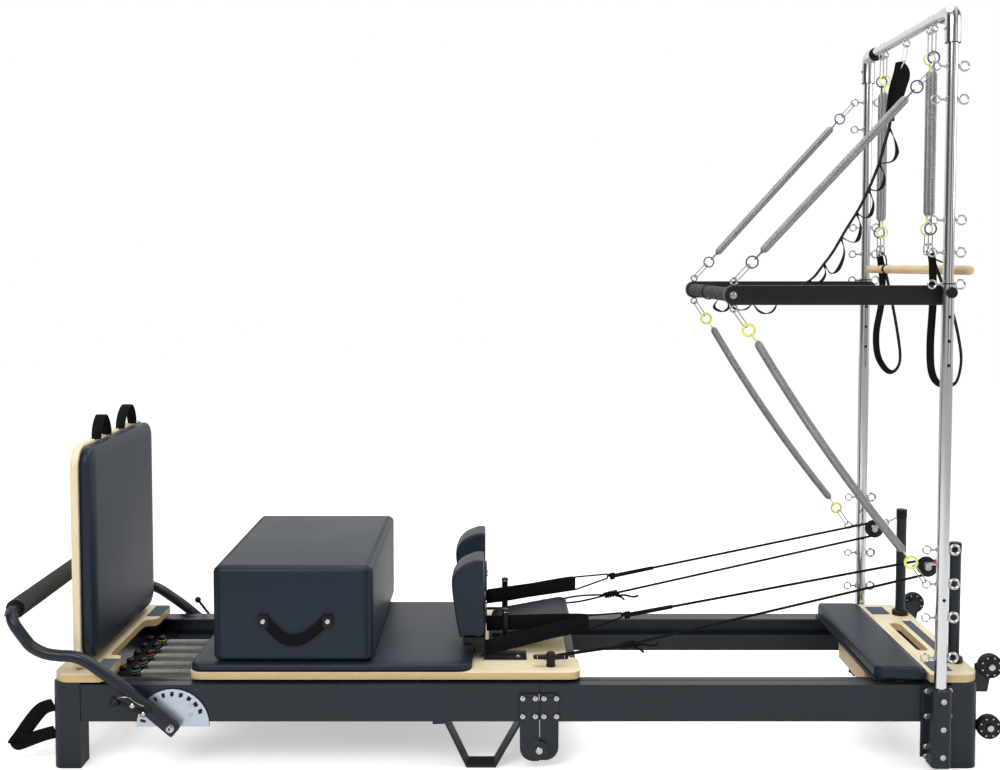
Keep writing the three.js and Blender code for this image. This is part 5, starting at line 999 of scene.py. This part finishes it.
# Black boards under the pad: they carry it, and their black is painted shadow in the gap between
# pad and rails.
under = [block("board", (1.000, -0.300, 0.2225), (1.136, 0.300, 0.2345), 0.002),
         block("board", (1.030, -0.262, 0.2080), (1.132, 0.262, 0.2225), 0.002),
         block("skid", (1.053, -0.313, 0.2273), (1.077, 0.313, 0.2345), 0.001)]
placed(under, "platform_shadow_boards", "head_frame", black_paint)
cross = block("panel", (1.026, -0.130, 0.1505), (1.044, 0.130, 0.209), 0.002)
placed(cross, "platform_panel", "head_frame", board_beech)
bracket = block("bracket", (1.0445, -0.135, 0.165), (1.049, -0.110, 0.209), 0.0008)
placed(bracket, "platform_bracket", "head_frame", black_paint)

# Transport wheels: four black rubber wheels with a silver hub on the tower end, for rolling the
# folded bed. Each has a ring of pale dots in its face.
pale_dot = coated("pale_plastic", (0.70, 0.70, 0.70), 0.4, mottle=0.04)
wheel_x = 1.311
for level, z in (("low", 0.104), ("high", 0.271)):
    for side, hand in both_sides:
        wheel_y = hand * 0.300
        name = f"transport_wheel_{level}_{side}"
        wheel = turned("wheel", both_ways([(0.0055, -0.012), (0.022, -0.012), (0.023, -0.010),
                                           (0.026, -0.010), (0.0275, -0.012), (0.030, -0.0115),
                                           (0.0325, -0.008), (0.033, -0.004)]),
                       (wheel_x, wheel_y, z), "Y", 48)
        placed(wheel, name + "_tyre", name, tyre, [name])
        dots = []
        for k in range(8):
            angle = math.pi / 4 * (k + 0.5)
            for face in (-1, 1):
                dots.append(turned("dot", [(0.0022, 0), (0.0020, 0.0010), (0.001, 0.0013)],
                                   (wheel_x + 0.0245 * math.cos(angle),
                                    wheel_y + face * 0.0098,
                                    z + 0.0245 * math.sin(angle)), (0, face, 0), 12))
        placed(dots, name + "_dots", name, pale_dot)
        hubs = [turned("hub", [(0.0090, 0), (0.0092, 0.0045), (0.0080, 0.0052), (0.004, 0.0055)],
                       (wheel_x, wheel_y + hand * 0.0122, z), (0, hand, 0), 24)]
        placed(hubs, name + "_hub", "head_frame", bright_steel)

# Risers: round slate posts that slide in the head end sockets and carry the rope pulleys, each
# sheave between two cheeks on a short arm.
tag_red = coated("tag_red", (0.42, 0.04, 0.04), 0.5, mottle=0.1, patch=60)
for side, hand in both_sides:
    tube = turned("riser", [(0.0135, 0.140), (0.015, 0.1415), (0.015, 0.586), (0.0135, 0.5875)],
                  (riser_x, hand * riser_y, 0), "Z", 32)
    placed(tube, "riser_tube_" + side, "riser_" + side, slate,
           ["rope_riser_" + side])
    band = turned("band", [(0.0151, 0.562), (0.0162, 0.563), (0.0162, 0.586), (0.0150, 0.5885),
                           (0.010, 0.5895), (0.002, 0.590)], (riser_x, hand * riser_y, 0), "Z", 32)
    placed(band, "riser_cap_" + side, "riser_" + side, black_paint)
    y = hand * sheave_y
    cheeks = []
    for face in (-1, 1):
        cheeks.append(turned("cheek", [(0.0250, 0), (0.0265, 0.0008), (0.0265, 0.0022),
                                       (0.0250, 0.003), (0.012, 0.003)],
                             (sheave_x, y + face * 0.0063, sheave_z), (0, face, 0), 40))
    placed(cheeks, "pulley_cheeks_" + side, "riser_" + side, black_paint)
    fittings = [bolt("axle", (sheave_x, y + face * 0.0093, sheave_z), (0, face, 0), 0.006, 0.003,
                     0.009) for face in (-1, 1)]
    arm = eased([(1.187, y, 0.538), (1.205, y - hand * 0.002, 0.548), (1.229, hand * 0.223, 0.562)],
                6)
    fittings.append(laid("arm", arm, 0.0032, 12))
    fittings.append(hoop("eye", (1.199, y - hand * 0.002, 0.545), (0.3, 0.9, 0), 0.008, 0.0022))
    fittings.append(block("yoke", (1.184, y - 0.0105, 0.530), (1.192, y + 0.0105, 0.544), 0.0015))
    for face in (-1, 1):
        fittings.append(block("strap", (1.150, y + face * 0.0102 - 0.0008, 0.5300),
                              (1.187, y + face * 0.0102 + 0.0008, 0.5390), 0.0005))
    placed(fittings, "pulley_fittings_" + side, "riser_" + side, bright_steel)
    tag = block("tag", (1.1745, y + hand * 0.0112 - 0.0006, 0.5345),
                (1.1815, y + hand * 0.0112 + 0.0006, 0.5425), 0.0003)
    placed(tag, "pulley_tag_" + side, "riser_" + side, tag_red)
    wheel = turned("sheave", both_ways([(0.0045, -0.006), (0.020, -0.006), (0.021, -0.0052),
                                        (0.0175, -0.0015)]), (sheave_x, y, sheave_z), "Y", 48)
    placed(wheel, "sheave_wheel_" + side, "sheave_" + side, tyre,
           ["rope_sheave_" + side])

# Tower: two chromed steel posts in two diameters, with eye bolts through them for the springs.
# The lower tubes stand in the head half's sockets and have a row of adjustment holes.
chrome = bpy.data.materials.new("tower_chrome")
chrome.use_nodes = True
tree = chrome.node_tree
smear = grown(tree, "TexNoise", {"Vector": grown(tree, "TexCoord").outputs["Object"], "Scale": 14,
                                 "Detail": 6}).outputs["Fac"]
smear_range = grown(tree, "MapRange", {"Value": smear, "To Min": 0.06, "To Max": 0.17})
fed(tree, tree.nodes["Principled BSDF"],
    {"Metallic": 1.0, "Roughness": smear_range.outputs["Result"],
     "Base Color": ramped(tree, smear, ((0, (0.62, 0.62, 0.63)), (1, (0.70, 0.70, 0.71))))})
post_x, post_y = 1.158, 0.355
eye_heights = (1.863, 1.778, 1.467, 1.383, 1.300, 0.600, 0.5085, 0.419, 0.311)
hole_heights = (1.2155, 1.152, 1.0885, 0.469)
for side, hand in both_sides:
    y = hand * post_y
    tubes = [turned("lower", [(0.0145, 0.0265), (0.016, 0.028), (0.016, 1.300), (0.0152, 1.301)],
                    (post_x, y, 0), "Z", 48),
             turned("upper", [(0.0142, 1.296), (0.0142, 1.9925)], (post_x, y, 0), "Z", 48)]
    placed(tubes, "post_tube_" + side, "head_frame", chrome, ["tower_post_" + side])
    eyes = []
    for z in eye_heights:
        eyes.append(laid("shank", [(1.1265, y, z), (1.1775, y, z)], 0.0032, 12))
        eyes.append(hoop("eye", (1.116, y, z), (0, 1, 0), 0.0105, 0.0024, 32, 10))
        eyes.append(hoop("eye", (1.1895, y, z), (0, 1, 0), 0.0120,
                         0.0036 if z < 1.0 else 0.0027, 32, 10))
        radius = 0.016 if z < 1.301 else 0.0142
        for face in (-1, 1):
            eyes.append(turned("nut", [(0.0062, 0), (0.0066, 0.001), (0.0062, 0.0035),
                                       (0.0035, 0.0042)],
                               (post_x + face * (radius - 0.001), y, z), (face, 0, 0), 6))
    placed(eyes, "post_eyes_" + side, "head_frame", bright_steel)
    holes = [turned("hole", [(0.0046, 0), (0.0046, 0.0012), (0.004, 0.0014)],
                    (post_x, y + face * 0.0153, z), (0, face, 0), 20)
             for z in hole_heights for face in (-1, 1)]
    holes.append(turned("line", [(0.0161, 1.3002), (0.0163, 1.3006), (0.0163, 1.3030),
                                 (0.0143, 1.3034)], (post_x, y, 0), "Z", 40))
    placed(holes, "post_holes_" + side, "head_frame", black_paint)

# Crossbar: a chromed tube across the tower top in two swept corner elbows. Five eyes hang under
# it, each on a screw with a nut on top.
parts = [laid("top", [(post_x, y, 2.007) for y in (-0.300, 0, 0.300)], 0.0142, 32)]
for hand in (-1, 1):
    elbow = laid("elbow", [(post_x, hand * post_y, 1.9235), (post_x, hand * post_y, 1.955),
                           (post_x, hand * post_y, 1.984), (post_x, hand * 0.3525, 1.9925),
                           (post_x, hand * 0.3445, 2.0005), (post_x, hand * 0.336, 2.003),
                           (post_x, hand * 0.312, 2.003), (post_x, hand * 0.2885, 2.003)],
                 0.0204, 36)
    parts.append(elbow)
placed(parts, "crossbar_tube", "head_frame", chrome, ["tower_crossbar"])
eye_z = 1.984
fixings, rings = [], []
for y in (-0.220, -0.190, 0, 0.190, 0.220):
    fixings.append(hoop("eye", (post_x, y, eye_z), (0, 1, 0), 0.009, 0.0023, 28, 10))
    fixings.append(bolt("nut", (post_x, y, 2.0205), (0, 0, 1), 0.0045, 0.0035, 0.006))
for hand in (-1, 1):
    fixings.append(bolt("screw", (1.1378, hand * post_y, 1.960), (-1, 0, 0), 0.0045, 0.003, 0.006))
    rings.append(turned("ring", [(0.0145, 0), (0.0202, 0.0002), (0.0202, 0.0014),
                                 (0.0145, 0.0016)], (post_x, hand * post_y, 1.9221), "Z", 40))
rings.append(turned("ring", [(0.0143, 0), (0.0206, 0.0003), (0.0206, 0.0060), (0.0143, 0.0064)],
                    (post_x, 0.2822, 2.003), "Y", 40))
placed(fixings, "crossbar_eyes", "head_frame", bright_steel)
placed(rings, "crossbar_rings", "head_frame", black_paint)

# Push-through bar: two flat black alloy arms with round ends, turning on bolts through the posts,
# and a round end bar in grey wrap. Round knobs clamp it outside the posts.
arm_black = coated("arm_black", (0.0065, 0.0070, 0.0080), 0.42, mottle=0.1, patch=6, grain=900,
                   depth=0.00006, shine=0.30)
grip_x = 0.602
arm_y, arm_z, pivot_z = 0.3235, 1.271, 1.279
arm_parts, knob_parts, eye_parts = [], [], []
for hand in (-1, 1):
    arm = cube("arm", (0.602, 0.025, 0.052), (0.881, hand * arm_y, arm_z))
    edges_rounded(arm, lambda a, b: abs(a.x - b.x) + abs(a.z - b.z) < 1e-5, 0.0245, 10)
    rounded(arm, 0.003, 3)
    arm_parts.append(arm)
    knob_parts.append(turned("knob", [(0.006, 0), (0.0075, 0.001), (0.0075, 0.004),
                                      (0.0135, 0.006), (0.0148, 0.009), (0.0148, 0.014),
                                      (0.0130, 0.0172), (0.004, 0.0178)],
                             (post_x, hand * 0.3712, pivot_z), (0, hand, 0), 32))
    eye_parts.append(laid("bolt", [(post_x, hand * y, pivot_z) for y in (0.336, 0.372)], 0.005, 12))
    for lift in (-1, 1):
        eye_parts.append(hoop("eye", (0.606, hand * arm_y, arm_z + lift * 0.036), (0, 1, 0),
                              0.009, 0.0024, 28, 10))
    eye_parts.append(bolt("cap", (grip_x, hand * 0.3362, arm_z), (0, hand, 0), 0.007, 0.003, 0.010))
placed(arm_parts, "push_bar_arms", "push_bar", arm_black, ["push_through_bar"])
placed(knob_parts, "push_bar_knobs", "push_bar", black_paint)
placed(eye_parts, "push_bar_eyes", "push_bar", bright_steel)
wrap = woven("grip_wrap", (0.058, 0.060, 0.064), ("Y", "Z"), 0.85, 0.0008)
profile = [(0.0170, -0.310), (0.0170, -0.292), (0.0190, -0.291)]
profile += [(0.0190 - 0.0006 * (k % 2), -0.288 + 0.576 * k / 48) for k in range(49)]
profile += [(0.0190, 0.291), (0.0170, 0.292), (0.0170, 0.310)]
grip = turned("grip", profile, (grip_x, 0, arm_z), "Y", 32)
placed(grip, "push_bar_grip", "push_bar", wrap, angle=60)

# Tower springs: close-wound zinc springs with coloured plastic rings at both ends, purple above
# and yellow below, on wire links. They pull the push-through bar up and down.
tower_zinc = coated("tower_zinc", (0.34, 0.34, 0.33), 0.42, metal=0.9, mottle=0.08, patch=14,
                    grain=900, depth=0.00002)
ring_purple = coated("ring_purple", (0.075, 0.035, 0.16), 0.35, mottle=0.1, patch=60)
ring_yellow = coated("ring_yellow", (0.80, 0.74, 0.16), 0.35, mottle=0.08, patch=60)
ring_blue = coated("ring_blue", (0.035, 0.06, 0.22), 0.35, mottle=0.1, patch=60)


def wire_link(name, a, b, half, wire, facing=(0, 1, 0)):
    a, b = Vector(a), Vector(b)
    along = (b - a).normalized()
    side = along.cross(Vector(facing)).normalized()
    points = []
    for centre, start in ((b, -90), (a, 90)):
        for k in range(9):
            angle = math.radians(start + 22.5 * k)
            points.append(centre + along * half * math.cos(angle) + side * half * math.sin(angle))
    return laid(name, points, wire, 8, True)


def spring_set(name, top, low, top_radius, low_radius, top_ring, low_ring, thick, links=(45, 45),
               bow=(0, 0, 0), coil_radius=0.0115):
    top, low = Vector(top), Vector(low)
    along = (low - top).normalized()
    side = Vector((0, 1, 0))
    a = top + along * top_radius
    b = low - along * low_radius
    a_end, b_end = a + along * links[0] / 1000, b - along * links[1] / 1000
    a_ring, b_ring = a_end + along * 0.0150, b_end - along * 0.0150
    turned_side = along.cross(side)
    steel = [wire_link("link", a, a_end, 0.0052, 0.0016, side),
             wire_link("link", b, b_end, 0.0052, 0.0016, side)]
    start, end = a_ring + along * 0.0290, b_ring - along * 0.0290
    steel.append(wound("coil", start, end, coil_radius - 0.0014, 0.0014, bow))
    body = placed(steel, name, None, tower_zinc, angle=60)
    rings = []
    for k, (at, paint, way) in enumerate(((a_ring, top_ring, 1), (b_ring, low_ring, -1))):
        facing = side - along * side.dot(along)
        hook = wire_link("hook", at + along * way * 0.0150, at + along * way * 0.0330, 0.0048,
                         0.0016, turned_side)
        tinted = [hoop("ring", at, facing, 0.0155, thick, 36, 12), hook]
        rings.append(placed(tinted, f"{name}_ring_{k + 1}", None, paint, angle=60))
    return body, rings


for side, hand in both_sides:
    post_top, post_low = (1.116, hand * post_y, 1.863), (1.116, hand * post_y, 0.5085)
    bar_top, bar_low = (0.606, hand * arm_y, 1.307), (0.606, hand * arm_y, 1.235)
    for level, top, low, tints, thick, bow in (
        ("upper", post_top, bar_top, (ring_purple, ring_purple), 0.0021, (0, 0, 0)),
        ("lower", bar_low, post_low, (ring_yellow, ring_yellow), 0.0036, (-0.010, 0, -0.008)),
    ):
        radii = (0.0105, 0.009) if level == "upper" else (0.009, 0.0105)
        body, rings = spring_set(f"{level}_spring_{side}", top, low, *radii, *tints, thick, bow=bow)
        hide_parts(f"{level}_bar_spring_{side}")
        for piece in (body, *rings):
            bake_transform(piece)

# Hanging springs: two pairs of slightly thinner zinc springs under the crossbar. The inner pair
# carries the roll-down bar, the outer pair the hand straps.
clip_z = 1.401
for side, hand in both_sides:
    for use, y, tints in (("bar", 0.190, (ring_yellow, ring_yellow)),
                          ("strap", 0.220, (ring_blue, ring_blue))):
        body, rings = spring_set(f"{use}_spring_{side}", (post_x, hand * y, eye_z),
                                 (post_x, hand * y, clip_z), 0.009, 0.008, *tints, 0.0023,
                                 links=(52, 24), coil_radius=0.0102)
        clip = wire_link("clip", (post_x, hand * y, clip_z), (post_x, hand * y, 1.384), 0.0065,
                         0.002)
        placed(clip, f"{use}_clip_{side}", "hanging_set", bright_steel, angle=60)
        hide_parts(f"{use}_hanging_spring_{side}")
        for piece in (body, *rings):
            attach(piece, "hanging_set")

# Roll-down bar: a turned beech dowel with round ends. It hangs from two short cords and is stored
# a little askew across the tower.
dowel_x, dowel_z = 1.197, 1.336
skew = Vector((-0.13, 1, 0)).normalized()
dowel = turned("dowel", both_ways([(0.004, -0.3075), (0.009, -0.3060), (0.0122, -0.3015),
                                   (0.013, -0.294)]),
               (dowel_x, 0, dowel_z), skew, 32)
dowel_beech = timber("dowel_beech", (0.70, 0.53, 0.31), (0.58, 0.40, 0.22), (9.0, 1.0, 9.0))
placed(dowel, "roll_bar_dowel", "hanging_set", dowel_beech, ["roll_down_bar"])
ties = []
for hand in (-1, 1):
    y = hand * 0.190
    x = dowel_x - 0.13 * y
    ties.append(laid("cord", eased([(post_x, y, 1.389), (1.170, y, 1.372), (x, y, 1.350)], 6),
                     0.0022, 8))
    ties.append(turned("band", both_ways([(0.0132, -0.006), (0.0146, -0.005)]), (x, y, dowel_z),
                       skew, 32))
placed(ties, "roll_bar_ties", "hanging_set", rope_black, angle=60)

# Hand straps: closed loops of black cotton webbing, 24 mm wide, hung from the outer springs. They
# fall in long ovals and lean away from the tower.
def traced(path, y, count=5):
    return eased([(x / 1000, y, z / 1000) for x, z in path], count)


loops_at = {
    "near": ((1160, 1382), (1165, 1356), (1167, 1301), (1168, 1245), (1163, 1134), (1168, 1060),
             (1188, 1026), (1222, 1022), (1240, 1040), (1248, 1099), (1233, 1183), (1216, 1238),
             (1192, 1301), (1172, 1352), (1163, 1382)),
    "far": ((1160, 1382), (1164, 1356), (1170, 1301), (1168, 1230), (1154, 1143), (1158, 1076),
            (1178, 1034), (1202, 1017), (1223, 1034), (1229, 1070), (1219, 1143), (1202, 1230),
            (1186, 1301), (1172, 1352), (1163, 1382)),
}
for side, hand in both_sides:
    run = traced(loops_at[side], hand * 0.220, 6)
    edgeways = [(Vector((way.z, 0, -way.x)) * 0.55 + Vector((0, 0.83, 0))).normalized()
                for way in headings(run)]
    loop = ribbon("loop", run, 0.024, 0.0028, edgeways)
    placed(loop, "hand_loop_" + side, "strap_loop_" + side, strap_black,
           ["hand_strap_" + side])
    clip = hoop("clip", (1.161, hand * 0.220, 1.383), (0, 1, 0), 0.0085, 0.0022, 28, 8)
    placed(clip, "strap_clip_" + side, "strap_loop_" + side, bright_steel, angle=60)

# Safety strap: a black webbing ladder of sewn loops from the crossbar's middle eye to the
# push-through bar. Its spare length is folded double at the top.
line = [(1134, 1925), (1122, 1880), (1116, 1800), (1112, 1745), (1098, 1694), (1085, 1643),
        (1056, 1569), (1028, 1511), (992, 1452), (956, 1389), (927, 1349), (898, 1312),
        (861, 1290), (800, 1262), (720, 1246), (650, 1248), (622, 1262)]
run = traced(line, 0)
band = ribbon("band", run, 0.026, 0.0024, (0, 1, 0))
loops, webbing_long = [], length_of(run)
for path in (((1112, 1745), (1128, 1712), (1136, 1675), (1122, 1648), (1085, 1643)),
             ((1085, 1640), (1100, 1610), (1096, 1578), (1080, 1564), (1056, 1569)),
             ((1056, 1566), (1070, 1530), (1063, 1495), (1045, 1486), (1022, 1500)),
             ((1022, 1498), (1034, 1462), (1028, 1425), (1012, 1415), (978, 1430)),
             ((978, 1428), (988, 1385), (972, 1338), (950, 1325), (930, 1352)),
             ((930, 1350), (934, 1322), (918, 1298), (898, 1290), (890, 1306)),
             ((720, 1246), (740, 1218), (765, 1208), (788, 1222), (800, 1262)),
             ((650, 1248), (668, 1226), (690, 1218), (712, 1226), (730, 1248)),
             ((628, 1256), (612, 1228), (636, 1214), (654, 1226), (650, 1248))):
    turn = traced(path, 0)
    twist = [Vector((0.75 * (1 - abs(2 * n / (len(turn) - 1) - 1)), 0.78, 0)).normalized()
             for n in range(len(turn))]
    loops.append(ribbon("step", turn, 0.024, 0.0022, twist))
    webbing_long += length_of(turn)
band = placed([band, *loops], "safety_band", None, strap_black, ["safety_strap"])
spares = []
for k, (path, wide) in enumerate((
        (((1139, 1932), (1133, 1900), (1122, 1860), (1116, 1815), (1112, 1762)), 0.028),
        (((1150, 1920), (1150, 1885), (1141, 1845), (1130, 1800), (1122, 1785)), 0.026),
        (((1142, 1934), (1158, 1915), (1162, 1890), (1152, 1855), (1142, 1822)), 0.018))):
    fold = traced(path, 0.004 * (k - 1))
    spare = ribbon("spare", fold, wide, 0.0024, (0.97, 0.12, 0.10))
    placed(spare, f"safety_fold_{k + 1}", None, strap_black)
    spares.append(spare)
chain = [wire_link("chain", (1.157, 0, 1.974), (1.150, 0, 1.936), 0.0052, 0.0016),
         wire_link("chain", (1.149, 0, 1.930), (1.143, 0, 1.918), 0.0060, 0.0018, (1, 0, 0))]
chain = placed(chain, "safety_links", None, bright_steel, angle=60)
wrapped = placed(hoop("wrapped", (grip_x, 0.030, arm_z), (0, 1, 0), 0.0215, 0.0018, 32, 8),
                 "safety_ring", None, black_paint)
for piece in (band, chain, wrapped, *spares):
    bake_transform(piece)

# Floor and light: a plain pale floor, soft lamps from above and in front, and a white surround
# that the camera and the bright metal see.
lone()
bpy.ops.mesh.primitive_circle_add(vertices=96, radius=14, fill_type="NGON",
                                  location=(0, 0, -0.0005))
floor = seated(bpy.context.object, "floor")
floor_paint = bpy.data.materials.new("floor_paint")
floor_paint.use_nodes = True
tree = floor_paint.node_tree
base = fed(tree, tree.nodes["Principled BSDF"],
           {"Base Color": (0.88, 0.88, 0.88, 1), "Roughness": 0.8, "Specular IOR Level": 0.1})
glow = grown(tree, "Emission", {"Color": (1, 1, 1, 1), "Strength": 0.47})
lifted = grown(tree, "AddShader", {0: base.outputs[0], 1: glow.outputs[0]})
lit = grown(tree, "MixShader", {0: grown(tree, "LightPath").outputs["Is Camera Ray"],
                                1: base.outputs[0], 2: lifted.outputs[0]})
fed(tree, tree.nodes["Material Output"], {"Surface": lit.outputs[0]})
floor.data.materials.append(floor_paint)

world = bpy.data.worlds.new("surround")
bpy.context.scene.world = world
world.use_nodes = True
tree = world.node_tree
ambient = fed(tree, tree.nodes["Background"], {"Color": (1, 1, 1, 1), "Strength": 0.60})
white = grown(tree, "Background", {"Color": (1, 1, 1, 1), "Strength": 1.0})
seen = grown(tree, "LightPath").outputs
seen_in = grown(tree, "Math", {0: seen["Is Glossy Ray"], 1: seen["Is Transmission Ray"]},
                operation="MAXIMUM")
seen_at_all = grown(tree, "Math", {0: seen_in.outputs[0], 1: seen["Is Camera Ray"]},
                    operation="MAXIMUM")
towards = grown(tree, "SeparateXYZ", {0: grown(tree, "TexCoord").outputs["Generated"]}).outputs
bands = []
for source, stops in (
    ("X", ((0.0, 0.10), (0.05, 0.08), (0.12, 0.40), (0.24, 0.62), (0.36, 0.58), (0.46, 0.16),
           (0.56, 0.14), (0.63, 0.62), (0.74, 1.0), (0.84, 0.30), (0.90, 0.05), (0.96, 0.70))),
    ("Z", ((0.0, 0.60), (0.35, 0.75), (0.48, 1.0), (0.62, 1.0), (0.70, 0.62), (0.80, 0.9),
           (1.0, 1.0))),
):
    scaled = grown(tree, "MapRange", {"Value": towards[source], "From Min": -1})
    bands.append(ramped(tree, scaled.outputs["Result"], [(at, [v] * 3) for at, v in stops]))
behind = grown(tree, "MapRange", {"Value": towards["Y"], "From Min": 0.25, "From Max": 0.6})
backed = blended(tree, behind.outputs["Result"], blended(tree, 1, *bands), (1, 1, 1, 1), "MIX")
room = grown(tree, "Background", {"Color": backed, "Strength": 1.0})
shown = grown(tree, "MixShader", {0: seen["Is Camera Ray"], 1: room.outputs[0],
                                  2: white.outputs[0]})
pick = grown(tree, "MixShader", {0: seen_at_all.outputs[0], 1: ambient.outputs[0],
                                 2: shown.outputs[0]})
fed(tree, tree.nodes["World Output"], {"Surface": pick.outputs[0]})

for name, place, aim, size, power in (
    ("key", (-1.5, -3.2, 3.6), (0.0, 0.0, 0.6), 2.6, 90),
    ("top", (0.3, 0.4, 4.2), (0.1, 0.0, 0.5), 3.0, 85),
    ("side", (3.8, -1.2, 2.4), (0.6, 0.0, 0.9), 1.8, 30),
):
    lamp_data = bpy.data.lights.new(name, "AREA")
    lamp_data.shape = "DISK"
    lamp_data.size = size
    lamp_data.energy = power
    lamp = bpy.data.objects.new(name, lamp_data)
    lamp.location = place
    lamp.rotation_euler = (Vector(aim) - Vector(place)).to_track_quat("-Z", "Y").to_euler()
    bpy.context.scene.collection.objects.link(lamp)
